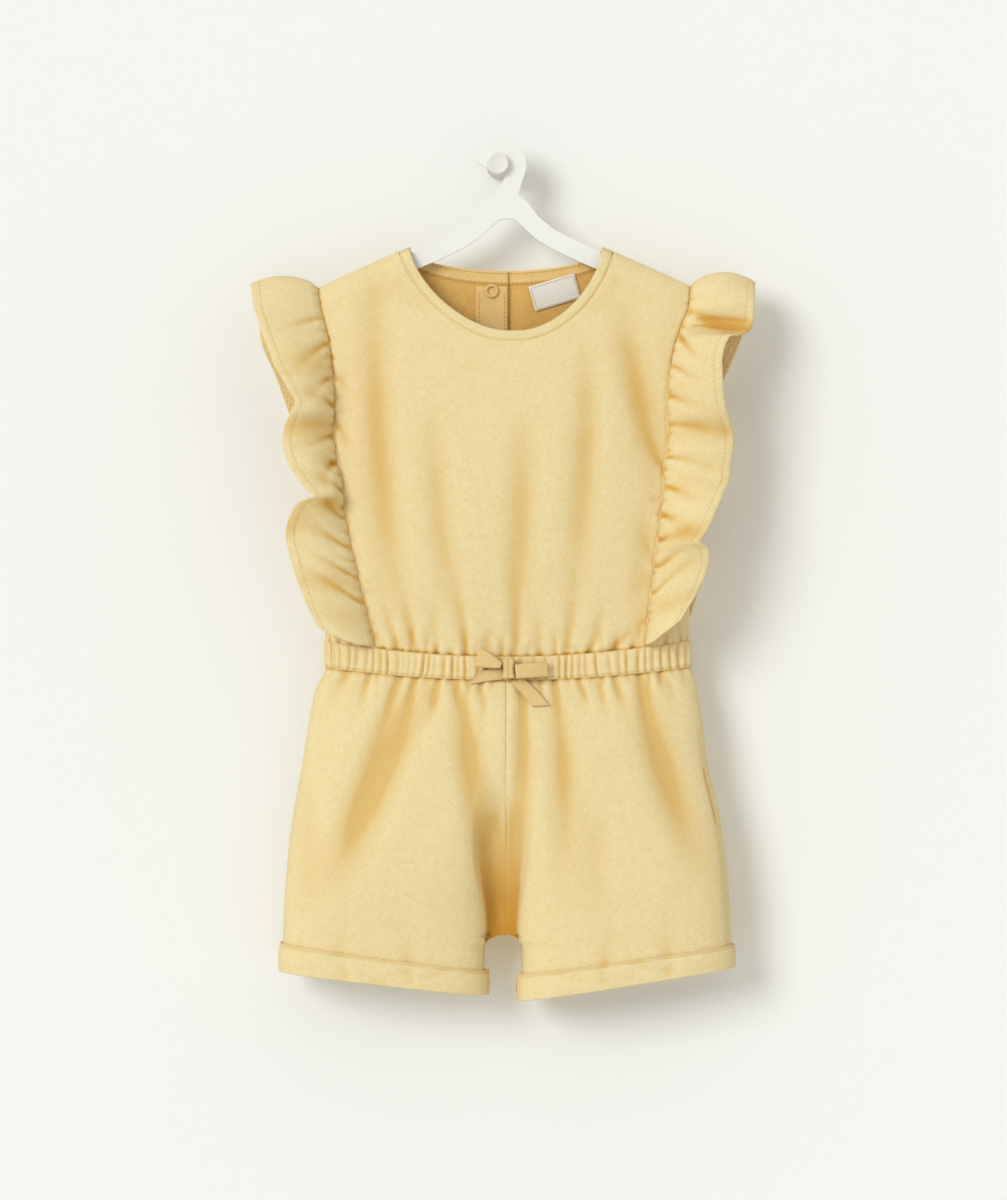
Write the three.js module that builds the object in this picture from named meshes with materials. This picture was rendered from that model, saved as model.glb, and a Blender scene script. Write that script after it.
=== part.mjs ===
import * as THREE from 'three';

// Baby romper of thin jersey on a flat hanger, which hangs on a round wall peg.
// Millimetres, +Z up, +X to the right of someone facing the front. The wall is the plane y = 0.
// The origin is the middle of the peg's back face. Garment tables count x from the garment's middle.

// Driving dimensions
const WALL = 1.2;
const SEAM_GAP = 0.3;
const PANEL_INSET = 0.13;
const GARMENT_X = 5;
const PLANE_Y = -30;
const ROUND = 2.6;
const LEG_ROUND = 3;
const SHOULDER_Z = -51.5;
const SHOULDER_X = 61;
const SHOULDER_SLOPE = 0.456;
const SHOULDER_ROLL = 14;
const NECK_HALF = 60;
const BAND_TOP_SIDE = -296.4;
const BAND_TOP_MIDDLE = -306.6;
const BAND_FOOT_SIDE = -314.3;
const BAND_FOOT_MIDDLE = -322;
const BAND_HALF = 114;
const BAND_WALL = 2.2;
const BAND_SEAM_X = 108;
const BAND_COLUMNS = 56;
const BAND_END_ANGLE = 0.0022;
const BAND_RAISE = 0.6;
const BAND_ROUND = 1.1;
const BAND_GATHER = 0.8;
const ARMHOLE_FOOT = -206;
const ARMHOLE_SHARE = 0.82;
const ARMHOLE_POWER = 2.2;
const SIDE_COLUMNS = 10;
const SEAM_TOP_Z = -76.5;
const CROTCH_Z = -483.6;
const LEG_SPLIT_Z = -350;
const LEG_SIDE_INSET = 0.0012;
const LEG_FOOT_INSIDE = 0.8;
const CUFF_WALL = 1.6;
const CUFF_ROUND = 0.6;
const CUFF_COLUMNS = 40;
const LAP_EDGE_X = 1.5;
const LAP_BACK_X = -17.5;
const LAP_RAISE = 1.8;
const BINDING_RAISE = 0.4;
const RUFFLE_GATHER = 0.9;
const RUFFLE_COLUMNS = 96;
const RUFFLE_BOW_MOST = 7;
const RUFFLE_BACK_BOW = 0.5;
const RUFFLE_RISE_POWER = 1.2;
const RUFFLE_WIDTH = 43;
const RUFFLE_LIFT = SEAM_GAP + WALL + RUFFLE_GATHER;
const RIBBON_WIDTH = 9.8;
const RIBBON_WALL = 0.8;

// Half widths and half depths of the body, row by row from the shoulders to the cuffs
const BODY = [
  { z: -45, left: 128, right: 126, front: 9, back: 9 },
  { z: -76, left: 127, right: 125, front: 10, back: 10 },
  { z: -110, left: 121, right: 119, front: 17, back: 13 },
  { z: -150, left: 117, right: 115, front: 22, back: 16 },
  { z: -200, left: 116, right: 115, front: 25, back: 17 },
  { z: -250, left: 114, right: 114, front: 24, back: 17 },
  { z: -296, left: 112.6, right: 114.6, front: 18, back: 15 },
  { z: -315, left: 112.8, right: 115.4, front: 17.5, back: 15 },
  { z: -328, left: 119, right: 119.4, front: 20, back: 16.5 },
  { z: -350, left: 123.2, right: 122.9, front: 26, back: 19 },
  { z: -372, left: 126.8, right: 125.2, front: 29, back: 21 },
  { z: -410, left: 133.4, right: 133.7, front: 32, back: 23 },
  { z: -447, left: 137.3, right: 138.4, front: 32, back: 23 },
  { z: -485, left: 139.2, right: 140.6, front: 27, back: 21 },
  { z: -520, left: 140.2, right: 141.6, front: 25, back: 20 },
];

// Distance from the middle to the seam that carries the ruffle
const SEAM = [
  { z: -76.5, left: 117, right: 114.8 },
  { z: -90, left: 115, right: 113.2 },
  { z: -102, left: 111.8, right: 108.5 },
  { z: -115, left: 108.9, right: 104.3 },
  { z: -132, left: 107, right: 101.3 },
  { z: -150, left: 106.8, right: 99.9 },
  { z: -175, left: 106, right: 100.2 },
  { z: -190, left: 103.2, right: 98.1 },
  { z: -205, left: 100.9, right: 97.4 },
  { z: -228, left: 97.7, right: 94.7 },
  { z: -260, left: 90.2, right: 90.8 },
  { z: -300, left: 81.4, right: 86 },
];

// Free edge of each ruffle half: sideways reach from its seam, rise away from the body, lift upward
const RUFFLE_EDGE = {
  left_front: [
    { z: -76.5, reach: 41.3, rise: 0, lift: 0 },
    { z: -87, reach: 41.4, rise: 9, lift: 0 },
    { z: -99, reach: 41, rise: 13, lift: 0 },
    { z: -115, reach: 38.9, rise: 15, lift: 0 },
    { z: -130, reach: 34.2, rise: 19, lift: 0 },
    { z: -141, reach: 27.6, rise: 24, lift: -1 },
    { z: -150, reach: 23, rise: 24, lift: 0 },
    { z: -160, reach: 27.1, rise: 24, lift: 1 },
    { z: -170, reach: 30.2, rise: 21, lift: 0 },
    { z: -180, reach: 31.4, rise: 20, lift: 0 },
    { z: -189, reach: 29.5, rise: 22, lift: -2 },
    { z: -198, reach: 23.1, rise: 23, lift: -4 },
    { z: -207, reach: 18.1, rise: 25, lift: -2 },
    { z: -215, reach: 27.8, rise: 24, lift: 2 },
    { z: -224, reach: 35.3, rise: 18, lift: 1 },
    { z: -232, reach: 38.8, rise: 13, lift: 0 },
    { z: -245, reach: 39.5, rise: 11, lift: 2 },
    { z: -262, reach: 39.3, rise: 12, lift: 4 },
    { z: -285, reach: 37.5, rise: 11, lift: 9 },
    { z: -301, reach: 35, rise: 10, lift: 12 },
  ],
  right_front: [
    { z: -76.5, reach: 39.8, rise: 0, lift: 0 },
    { z: -90, reach: 40.4, rise: 9, lift: 0 },
    { z: -101, reach: 42.5, rise: 8, lift: -4 },
    { z: -107, reach: 38, rise: 14, lift: -3 },
    { z: -113, reach: 33, rise: 21, lift: 1 },
    { z: -123, reach: 30.4, rise: 23, lift: 0 },
    { z: -134, reach: 31.7, rise: 21, lift: 0 },
    { z: -147, reach: 33.8, rise: 18, lift: 0 },
    { z: -157, reach: 36.3, rise: 15, lift: 0 },
    { z: -168, reach: 39.8, rise: 10, lift: 0 },
    { z: -179, reach: 40.3, rise: 9, lift: 0 },
    { z: -198, reach: 40.3, rise: 9, lift: 0 },
    { z: -207, reach: 36.1, rise: 16, lift: 0 },
    { z: -218, reach: 32.6, rise: 20, lift: -1 },
    { z: -228, reach: 28.2, rise: 22, lift: -2 },
    { z: -235, reach: 24.5, rise: 24, lift: 0 },
    { z: -243, reach: 31.7, rise: 20, lift: 3 },
    { z: -253, reach: 33.2, rise: 16, lift: 4 },
    { z: -266, reach: 31, rise: 16, lift: 7 },
    { z: -283, reach: 27, rise: 17, lift: 12 },
    { z: -301, reach: 21, rise: 18, lift: 16 },
  ],
  left_back: [
    { z: -76.5, reach: 41.3, rise: 0, lift: 0 },
    { z: -95, reach: 41, rise: 7, lift: 0 },
    { z: -112, reach: 43, rise: 5, lift: 0 },
    { z: -132, reach: 37, rise: 9, lift: 0 },
    { z: -152, reach: 30, rise: 12, lift: 0 },
    { z: -168, reach: 26, rise: 13, lift: 0 },
    { z: -186, reach: 28, rise: 10, lift: 0 },
    { z: -205, reach: 19, rise: 12, lift: 0 },
    { z: -222, reach: 29, rise: 9, lift: 0 },
    { z: -240, reach: 36, rise: 5, lift: 2 },
    { z: -262, reach: 33, rise: 9, lift: 4 },
    { z: -282, reach: 35, rise: 6, lift: 9 },
    { z: -301, reach: 31, rise: 7, lift: 12 },
  ],
  right_back: [
    { z: -76.5, reach: 39.8, rise: 0, lift: 0 },
    { z: -92, reach: 40, rise: 7, lift: 0 },
    { z: -110, reach: 41, rise: 6, lift: 0 },
    { z: -126, reach: 38, rise: 9, lift: 0 },
    { z: -144, reach: 33, rise: 12, lift: 0 },
    { z: -164, reach: 35, rise: 7, lift: 0 },
    { z: -184, reach: 38, rise: 5, lift: 0 },
    { z: -206, reach: 33, rise: 9, lift: 0 },
    { z: -230, reach: 23, rise: 12, lift: 0 },
    { z: -250, reach: 30, rise: 8, lift: 3 },
    { z: -272, reach: 31, rise: 5, lift: 6 },
    { z: -301, reach: 28, rise: 8, lift: 14 },
  ],
};

// Large soft troughs, each along a bent line from start past bend to end
const TROUGHS = [
  { face: 'front', start: [-80, -88], bend: [-86, -190], end: [-67, -285], width: 12, depth: 3 },
  { face: 'front', start: [-40, -148], bend: [-37, -210], end: [-41, -272], width: 11, depth: 1.5 },
  { face: 'front', start: [69, -76], bend: [87, -130], end: [93, -212], width: 11, depth: 3.4 },
  { face: 'front', start: [52, -98], bend: [56, -122], end: [51, -146], width: 12, depth: 2 },
  { face: 'front', start: [-44, -330], bend: [-70, -382], end: [-103, -442], width: 20, depth: 4 },
  { face: 'front', start: [-32, -328], bend: [-22, -362], end: [-14, -434], width: 14, depth: 4.5 },
  { face: 'front', start: [35, -347], bend: [38, -385], end: [45, -419], width: 16, depth: 2.5 },
  { face: 'front', start: [81, -328], bend: [98, -368], end: [113, -428], width: 14, depth: 4 },
  { face: 'back', start: [-66, -112], bend: [-74, -190], end: [-56, -276], width: 13, depth: 2.4 },
  { face: 'back', start: [52, -140], bend: [64, -210], end: [58, -282], width: 12, depth: 2 },
  { face: 'back', start: [-58, -332], bend: [-66, -392], end: [-92, -452], width: 19, depth: 3.5 },
  { face: 'back', start: [24, -330], bend: [26, -372], end: [16, -440], width: 15, depth: 3 },
  { face: 'back', start: [56, -334], bend: [66, -384], end: [88, -440], width: 18, depth: 3.5 },
];

// Necklines: drop below the shoulder point, curve power, and the binding's width and wall
const NECKS = {
  front: { drop: 52.9, power: 1.6, width: 6.9, wall: 1.6, crown: 0.5, columns: 6 },
  back: { drop: 14.5, power: 2, width: 8.7, wall: 1.6, crown: 0.2, columns: 6 },
};
const FRONT_COLUMNS = 20;
const BACK_COLUMNS = 11;

// Turned-up cuffs: heights of the top and the foot at the outer and the inner end
const CUFFS = {
  left: { inner: 13.7, outer: 139.5, topOuter: -485, topInner: -502.4, footOuter: -503.4, footInner: -518 },
  right: { inner: 9.8, outer: 141, topOuter: -486, topInner: -504.4, footOuter: -500.6, footInner: -521.6 },
};

// Hanger plate: heights of an arm's top and foot by distance from its middle
const HANGER_ARM = [
  { x: 6, top: -19.4, foot: -34.2 },
  { x: 13, top: -25.4, foot: -41 },
  { x: 19, top: -33.6, foot: -46.4 },
  { x: 29, top: -41.8, foot: -52.4 },
  { x: 42, top: -48.2, foot: -58.6 },
  { x: 57, top: -55.6, foot: -65 },
  { x: 60, top: -57.8, foot: -66 },
  { x: 66, top: -59.6, foot: -67.6 },
  { x: 75, top: -61.4, foot: -70 },
  { x: 104, top: -74.6, foot: -83.4 },
];
const HANGER_MIDDLE = 0.5;
const HANGER_THICK = 3;
const HOOK_INNER = 8.2;
const HOOK_OUTER = 16.7;
const HOOK_TIP_ANGLE = 0.9 * Math.PI;
const HOOK_NECK_ANGLE = -0.04 * Math.PI;
const HOOK_CORNER = 0.72;
const PEG_RADIUS = 6.8;
const PEG_LENGTH = 37;
const PEG_EDGE = 0.8;

// Press studs of the back opening
const STUDS = [{ z: -78.4 }, { z: -113 }, { z: -148 }];
const STUD_X = -9;
const STUD_RADIUS = 4.35;
const STUD_HOLE = 2.6;
const STUD_THICK = 0.9;
const STUD_CAP_RIM = 0.4;
const STUD_CAP_SLOPE = 1;
const STUD_SEAT = 0.2;

// Strip under the left back half, and the bare label inside the right one
const PLACKET = { inner: 0.5, outer: 20.5, below: 24, wall: 1 };
const LABEL = { x: 30.6, z: -79.4, width: 30, height: 16, tilt: 16.4, wall: 0.6 };

// Strip of pocket cloth in the right side seam: shares of the way round the leg, and heights
const POCKET = { front: 0.06, back: 0.015, foot: -412, top: -378, wall: 1 };

// Ribbon bow: its knot, loops and tails, x and z from the garment's middle
const BOW = { x: 1.5, z: -314.5, knotHalf: 2.4, knotHeight: 12, knotDepth: 7, knotCorner: 1.4 };
const BAND_FRONT_Y = PLANE_Y - 19.9;
const LOOPS = [
  { name: 'bow_loop_left', side: -1, reach: 18, tilt: 24, height: 6 },
  { name: 'bow_loop_right', side: 1, reach: 22, tilt: -3, height: 6 },
];
const TAILS = [
  { name: 'bow_tail_left', from: { x: -1.4, z: -318.6 }, to: { x: -19, z: -321 }, bend: 0.8 },
  { name: 'bow_tail_right', from: { x: 5, z: -322.5 }, to: { x: 21, z: -337 }, bend: 1 },
];
const LOOP_PINCH = 0.6;
const TAIL_PINCH = 0.62;
const TAIL_CLEAR = 2.2;

// How surfaces are sampled
const NORMAL_STEP = 0.25;
const ANGLE_STEP = 0.02;
const LEG_STEP = 0.004;
const SETTLE_ROUNDS = 8;
const TROUGH_STEPS = 16;
const ROOT_STEPS = 220;
const ROOT_SPACING = 1.6;
const SPINE_SHARE = 0.6;
const BODY_REACH = 130;

// Colours and finish by material
const FINISH = {
  jersey: { color: '#ecdaa6', roughness: 0.92 },
  binding: { color: '#ead7a0', roughness: 0.9 },
  ribbon: { color: '#e6c98c', roughness: 0.7 },
  label: { color: '#efe6cf', roughness: 0.85 },
  stud: { color: '#ead9ae', roughness: 0.4 },
  hanger: { color: '#eeefea', roughness: 0.5 },
  peg: { color: '#e7e7e2', roughness: 0.5 },
};

const { clamp, lerp, smoothstep } = THREE.MathUtils;
const romper = new THREE.Group();

function add(name, finish, geometry) {
  const look = { ...FINISH[finish], metalness: 0, side: THREE.DoubleSide };
  const material = new THREE.MeshStandardMaterial(look);
  const mesh = new THREE.Mesh(geometry, material);
  mesh.name = name;
  romper.add(mesh);
  return mesh;
}

// A table's column at height z, on a smooth curve through its rows
function read(rows, z, column) {
  const last = rows.length - 1;
  let i = 0;
  while (i < last - 1 && z < rows[i + 1].z) i += 1;
  const slope = (k) => {
    const above = rows[Math.max(k - 1, 0)];
    const below = rows[Math.min(k + 1, last)];
    return (below[column] - above[column]) / (below.z - above.z);
  };
  const span = rows[i + 1].z - rows[i].z;
  const t = clamp((z - rows[i].z) / span, 0, 1);
  const rest = 1 - t;
  const start = rows[i][column] * (1 + 2 * t) * rest * rest;
  const end = rows[i + 1][column] * t * t * (3 - 2 * t);
  return start + end + span * t * rest * (slope(i) * rest - slope(i + 1) * t);
}

// How far the troughs sink the cloth at one place of a face
function trough(face, x, z) {
  let sum = 0;
  for (const fold of TROUGHS) {
    if (fold.face !== face) continue;
    let near = Infinity;
    let along = 0;
    for (let i = 0; i <= TROUGH_STEPS; i += 1) {
      const t = i / TROUGH_STEPS;
      const px = (1 - t) ** 2 * fold.start[0] + 2 * t * (1 - t) * fold.bend[0] + t * t * fold.end[0];
      const pz = (1 - t) ** 2 * fold.start[1] + 2 * t * (1 - t) * fold.bend[1] + t * t * fold.end[1];
      const distance = Math.hypot(x - px, z - pz);
      if (distance < near) {
        near = distance;
        along = t;
      }
    }
    const ends = (4 * along * (1 - along)) ** 0.4;
    sum += fold.depth * ends * Math.exp(-((2 * near / fold.width) ** 2));
  }
  return sum;
}

const shoulderLine = (x) => SHOULDER_Z - (Math.abs(x) - SHOULDER_X) * SHOULDER_SLOPE;
const bandTop = (x) => lerp(BAND_TOP_MIDDLE, BAND_TOP_SIDE, Math.min(Math.abs(x) / BAND_HALF, 1) ** 2);
const bandFoot = (x) => lerp(BAND_FOOT_MIDDLE, BAND_FOOT_SIDE, Math.min(Math.abs(x) / BAND_HALF, 1) ** 2);
const seamX = (side, z) => side * read(SEAM, z, side < 0 ? 'left' : 'right');

// Height of a neckline, grown outward from the neck edge
function neckEdge(face, x, grow) {
  const { drop, power } = NECKS[face];
  const share = Math.min(Math.abs(x) / (NECK_HALF + grow), 1);
  const neck = SHOULDER_Z - (drop + grow) * (1 - share ** power) ** (1 / power);
  return Math.min(neck, shoulderLine(x));
}

// The cloth rolls over the hanger arm along the shoulder line
function shoulderRoll(x, z) {
  const t = clamp((shoulderLine(x) - z) / SHOULDER_ROLL, 0, 1);
  return Math.sqrt(1 - (1 - t) ** 2);
}

// One face of the bodice as a height over the hanger's plane
function torso(face, x, z) {
  const half = read(BODY, z, x < 0 ? 'left' : 'right');
  const share = Math.min(Math.abs(x) / half, 1);
  const depth = read(BODY, z, face) * (1 - share ** ROUND) ** (1 / ROUND) * shoulderRoll(x, z);
  return new THREE.Vector3(GARMENT_X + x, PLANE_Y + (face === 'front' ? -depth : depth), z);
}

// The body as a ring: angle 0 is the right side, a quarter turn the front, half a turn the left side
function ring(angle, z) {
  const across = Math.cos(angle);
  const deep = Math.sin(angle);
  const half = read(BODY, z, across < 0 ? 'left' : 'right');
  const depth = read(BODY, z, deep > 0 ? 'front' : 'back');
  const x = half * Math.sign(across) * Math.abs(across) ** (2 / ROUND);
  const y = depth * Math.sign(deep) * Math.abs(deep) ** (2 / ROUND);
  return new THREE.Vector3(GARMENT_X + x, PLANE_Y - y, z);
}

// Angle at which the ring passes a distance x from the middle, counted from its nearer side
function ringAngle(x, z) {
  const half = read(BODY, z, x < 0 ? 'left' : 'right');
  return Math.acos(Math.min(Math.abs(x) / half, 1) ** (ROUND / 2));
}

// How far a leg has parted from its neighbour at height z, from 0 to 1
const legShare = (z) => smoothstep(LEG_SPLIT_Z - z, 0, LEG_SPLIT_Z - CROTCH_Z);

// A leg's cloth: t is 1 at the front middle or inseam, 0 at the side seam and -1 at the back inseam
function leg(side, t, z) {
  const sideName = side < 0 ? 'left' : 'right';
  const u = clamp(1 - Math.abs(t), 0, 1);
  const outer = read(BODY, z, sideName);
  const split = smoothstep(CROTCH_Z + 4 - z, 0, 9);
  const inner = lerp(SEAM_GAP / 2, CUFFS[sideName].inner, split);
  const middle = (inner + outer) / 2;
  const half = (outer - inner) / 2;
  const angle = Math.PI * (1 - u);
  const across = Math.cos(angle);
  const parted = middle + half * Math.sign(across) * Math.abs(across) ** (2 / LEG_ROUND);
  const joined = inner + (outer - inner) * Math.sin(u * Math.PI / 2);
  const share = legShare(z);
  const x = lerp(joined, parted, share);
  const bodyLobe = (1 - Math.min(x / outer, 1) ** ROUND) ** (1 / ROUND);
  const legLobe = (1 - Math.min(Math.abs(x - middle) / half, 1) ** LEG_ROUND) ** (1 / LEG_ROUND);
  const depth = read(BODY, z, t > 0 ? 'front' : 'back') * lerp(bodyLobe, legLobe, share);
  return new THREE.Vector3(GARMENT_X + side * x, PLANE_Y - Math.sign(t) * depth, z);
}

// Outward normal of a surface of two parameters, turned away from a spine point
function normalOf(surface, a, b, stepA, stepB, limitsA, spine) {
  const a0 = Math.max(a - stepA, limitsA[0]);
  const a1 = Math.min(a + stepA, limitsA[1]);
  const alongA = surface(a1, b).sub(surface(a0, b));
  const alongB = surface(a, b + stepB).sub(surface(a, b - stepB));
  const normal = alongA.cross(alongB).normalize();
  const away = surface(a, b).sub(spine);
  return normal.dot(away) < 0 ? normal.negate() : normal;
}

// Triangles between two rows of points, which may hold different numbers of them
function zip(lower, upper, faces) {
  let i = 0;
  let j = 0;
  const n = lower.length - 1;
  const m = upper.length - 1;
  while (i < n || j < m) {
    const stepLower = j === m || (i < n && (i + 1) / n <= (j + 1) / m);
    if (stepLower) {
      faces.push(lower[i], lower[i + 1], upper[j]);
      i += 1;
    } else {
      faces.push(lower[i], upper[j + 1], upper[j]);
      j += 1;
    }
  }
}

// Signed volume of a triangle mesh, positive where its faces point out
function signedVolume(positions, faces) {
  const corner = (k) => new THREE.Vector3().fromArray(positions, 3 * faces[k]);
  let volume = 0;
  for (let k = 0; k < faces.length; k += 3) {
    volume += corner(k).dot(corner(k + 1).cross(corner(k + 2))) / 6;
  }
  return volume;
}

// A cloth wall over rows of points. Each row holds v and a count of steps in u.
// place(u, v, j) returns the outer point, the normal and the limits in y that the wall keeps to.
function wall(rows, place, thick = WALL, closed = false) {
  const positions = [];
  const faces = [];
  const outer = [];
  const inner = [];
  const store = (point) => {
    positions.push(point.x, point.y, point.z);
    return positions.length / 3 - 1;
  };
  for (const row of rows) {
    const outerRow = [];
    const innerRow = [];
    for (let j = 0; j <= row.count; j += 1) {
      if (closed && j === row.count) {
        outerRow.push(outerRow[0]);
        innerRow.push(innerRow[0]);
        continue;
      }
      const { point, normal, nearY = Infinity, farY = -Infinity } = place(j / row.count, row.v, j, row);
      const under = point.clone().addScaledVector(normal, -thick);
      for (const end of [point, under]) end.y = clamp(end.y, farY, nearY);
      outerRow.push(store(point));
      innerRow.push(store(under));
    }
    outer.push(outerRow);
    inner.push(innerRow);
  }
  const last = rows.length - 1;
  for (let r = 0; r < last; r += 1) {
    zip(outer[r], outer[r + 1], faces);
    const under = [];
    zip(inner[r], inner[r + 1], under);
    for (let k = 0; k < under.length; k += 3) faces.push(under[k], under[k + 2], under[k + 1]);
    if (!closed) {
      const ends = [[0, 0, 1], [rows[r].count, rows[r + 1].count, -1]];
      for (const [low, high, turn] of ends) {
        const quad = [outer[r][low], outer[r + 1][high], inner[r + 1][high], inner[r][low]];
        if (turn < 0) quad.reverse();
        faces.push(quad[0], quad[1], quad[2], quad[0], quad[2], quad[3]);
      }
    }
  }
  for (const [r, turn] of [[0, -1], [last, 1]]) {
    for (let j = 0; j < rows[r].count; j += 1) {
      const quad = [outer[r][j], outer[r][j + 1], inner[r][j + 1], inner[r][j]];
      if (turn < 0) quad.reverse();
      faces.push(quad[0], quad[1], quad[2], quad[0], quad[2], quad[3]);
    }
  }
  if (signedVolume(positions, faces) < 0) faces.reverse();
  const geometry = new THREE.BufferGeometry();
  geometry.setAttribute('position', new THREE.Float32BufferAttribute(positions, 3));
  geometry.setIndex(faces);
  geometry.computeVertexNormals();
  return geometry;
}

// Gathers as alternate ridges and hollows, uneven in height
function gather(j, height) {
  const uneven = 0.65 + 0.35 * Math.sin(2.3 * j);
  return (j % 2 === 0 ? -1 : 1) * height * uneven;
}

// Limits in y that keep a face on its own side of the hanger's plane
function ownSide(face) {
  return face === 'front' ? { nearY: PLANE_Y - SEAM_GAP / 2 } : { farY: PLANE_Y + SEAM_GAP / 2 };
}

// A point on a bodice face, raised above the cloth
function onTorso(face, x, z, raise = 0) {
  const spine = new THREE.Vector3(GARMENT_X + SPINE_SHARE * x, PLANE_Y, z - 3);
  const surface = (a, b) => torso(face, a, b);
  const normal = normalOf(surface, x, z, NORMAL_STEP, NORMAL_STEP, [-BODY_REACH, BODY_REACH], spine);
  const point = torso(face, x, z).addScaledVector(normal, raise - trough(face, x, z));
  return { point, normal, ...ownSide(face) };
}

// Heights of the rows of points, as shares of a panel's height, with the gathers above the waist.
// Front, back and side panels share them, so that their facets match along the seams.
const BODICE_ROWS = [
  { v: 0, gather: 1 },
  { v: 0.02, gather: 0.8 },
  { v: 0.06, gather: 0.3 },
  { v: 0.12 },
  { v: 0.21 },
  { v: 0.31 },
  { v: 0.42 },
  { v: 0.53 },
  { v: 0.64 },
  { v: 0.74 },
  { v: 0.82 },
  { v: 0.89 },
  { v: 0.94 },
  { v: 0.972 },
  { v: 0.99 },
  { v: 1 },
];

// Rows with twice the points where the cloth is gathered
const withCounts = (rows, count) => rows.map((row) => ({ ...row, count: row.gather ? 2 * count : count }));
const fadeAtEnds = (u) => Math.min(1, 8 * u * (1 - u));

const cutGrow = (face) => NECKS[face].width + 1.5 * SEAM_GAP;

// Columns of the front: u runs from the left seam to the right seam, with a column at each neck corner
function frontColumn(u) {
  const side = u < 0.5 ? -1 : 1;
  const edge = Math.abs(2 * u - 1);
  const neckShare = 2 * NECKS.front.columns / FRONT_COLUMNS;
  const half = NECK_HALF + cutGrow('front');
  const corner = half / Math.abs(seamX(side, shoulderLine(half)));
  const share = edge <= neckShare
    ? corner * edge / neckShare
    : lerp(corner, 1, (edge - neckShare) / (1 - neckShare));
  return (z) => side * share * (Math.abs(seamX(side, z)) - PANEL_INSET);
}

// Columns of a back half: u runs from the lapped middle to the ruffle seam
function backColumn(side, u) {
  const neckShare = NECKS.back.columns / BACK_COLUMNS;
  const half = NECK_HALF + cutGrow('back');
  const limit = Math.abs(seamX(side, shoulderLine(half)));
  const middleX = side < 0 ? LAP_EDGE_X : LAP_BACK_X;
  return (z) => {
    const seam = side * (Math.abs(seamX(side, z)) - PANEL_INSET);
    const corner = half * seam / limit;
    return u < neckShare
      ? lerp(middleX, corner, u / neckShare)
      : lerp(corner, seam, (u - neckShare) / (1 - neckShare));
  };
}

// Heights where a column meets the waist casing and the neck or shoulder
function columnEnds(face, columnX) {
  let top = SHOULDER_Z;
  let foot = BAND_TOP_SIDE;
  for (let k = 0; k < SETTLE_ROUNDS; k += 1) {
    top = neckEdge(face, columnX(top), cutGrow(face));
    foot = bandTop(columnX(foot)) + SEAM_GAP / 2;
  }
  return { top, foot };
}

// Front bodice, from the waist to the shoulder seams and the neck binding
function frontBodice() {
  const place = (u, v, j, row) => {
    const columnX = frontColumn(u);
    const { top, foot } = columnEnds('front', columnX);
    const z = lerp(foot, top, v);
    return onTorso('front', columnX(z), z, row.gather ? fadeAtEnds(u) * gather(j, row.gather) : 0);
  };
  add('front_bodice', 'jersey', wall(withCounts(BODICE_ROWS, FRONT_COLUMNS), place));
}

// The right back half laps over the left one, so its edge strip stands proud
const lapRaise = (x) => LAP_RAISE * (1 - smoothstep(x, LAP_EDGE_X + 2, LAP_EDGE_X + 14));

// Back halves, from the lapped middle to the ruffle seam
function backBodice(side) {
  const place = (u, v, j, row) => {
    const columnX = backColumn(side, u);
    const { top, foot } = columnEnds('back', columnX);
    const z = lerp(foot, top, v);
    const x = columnX(z);
    const raise = side > 0 ? lapRaise(x) : 0;
    const apart = smoothstep(Math.abs(x - LAP_BACK_X / 2), 14, 30) * fadeAtEnds(u);
    return onTorso('back', x, z, raise + (row.gather ? apart * gather(j, row.gather) : 0));
  };
  const name = side < 0 ? 'back_bodice_left' : 'back_bodice_right';
  add(name, 'jersey', wall(withCounts(BODICE_ROWS, BACK_COLUMNS), place));
}

// Side panels under the armholes, from the front seam round to the back seam
function sidePanel(side) {
  const rows = BODICE_ROWS.filter((row) => row.v <= ARMHOLE_SHARE)
    .map((row) => ({ v: row.v / ARMHOLE_SHARE, count: SIDE_COLUMNS }));
  const seamFoot = bandTop(seamX(side, BAND_TOP_SIDE));
  const armholeTop = lerp(seamFoot, shoulderLine(seamX(side, SEAM_TOP_Z)), ARMHOLE_SHARE);
  const place = (u, v) => {
    const armhole = lerp(ARMHOLE_FOOT, armholeTop, Math.abs(2 * u - 1) ** ARMHOLE_POWER);
    let z = ARMHOLE_FOOT;
    let angle = 0;
    let x = seamX(side, z);
    for (let k = 0; k < SETTLE_ROUNDS; k += 1) {
      z = lerp(bandTop(x) + SEAM_GAP / 2, armhole, v);
      const seam = seamX(side, z) + side * PANEL_INSET;
      angle = lerp(1, -1, u) * ringAngle(seam, z);
      x = ring(side > 0 ? angle : Math.PI - angle, z).x - GARMENT_X;
    }
    const surface = (a, b) => ring(side > 0 ? a : Math.PI - a, b);
    const spine = new THREE.Vector3(GARMENT_X + SPINE_SHARE * x, PLANE_Y, z);
    const normal = normalOf(surface, angle, z, ANGLE_STEP, NORMAL_STEP, [-2, 2], spine);
    const face = angle > 0 ? 'front' : 'back';
    const point = surface(angle, z).addScaledVector(normal, -trough(face, x, z));
    return { point, normal };
  };
  add(side < 0 ? 'side_panel_left' : 'side_panel_right', 'jersey', wall(rows, place));
}

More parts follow.
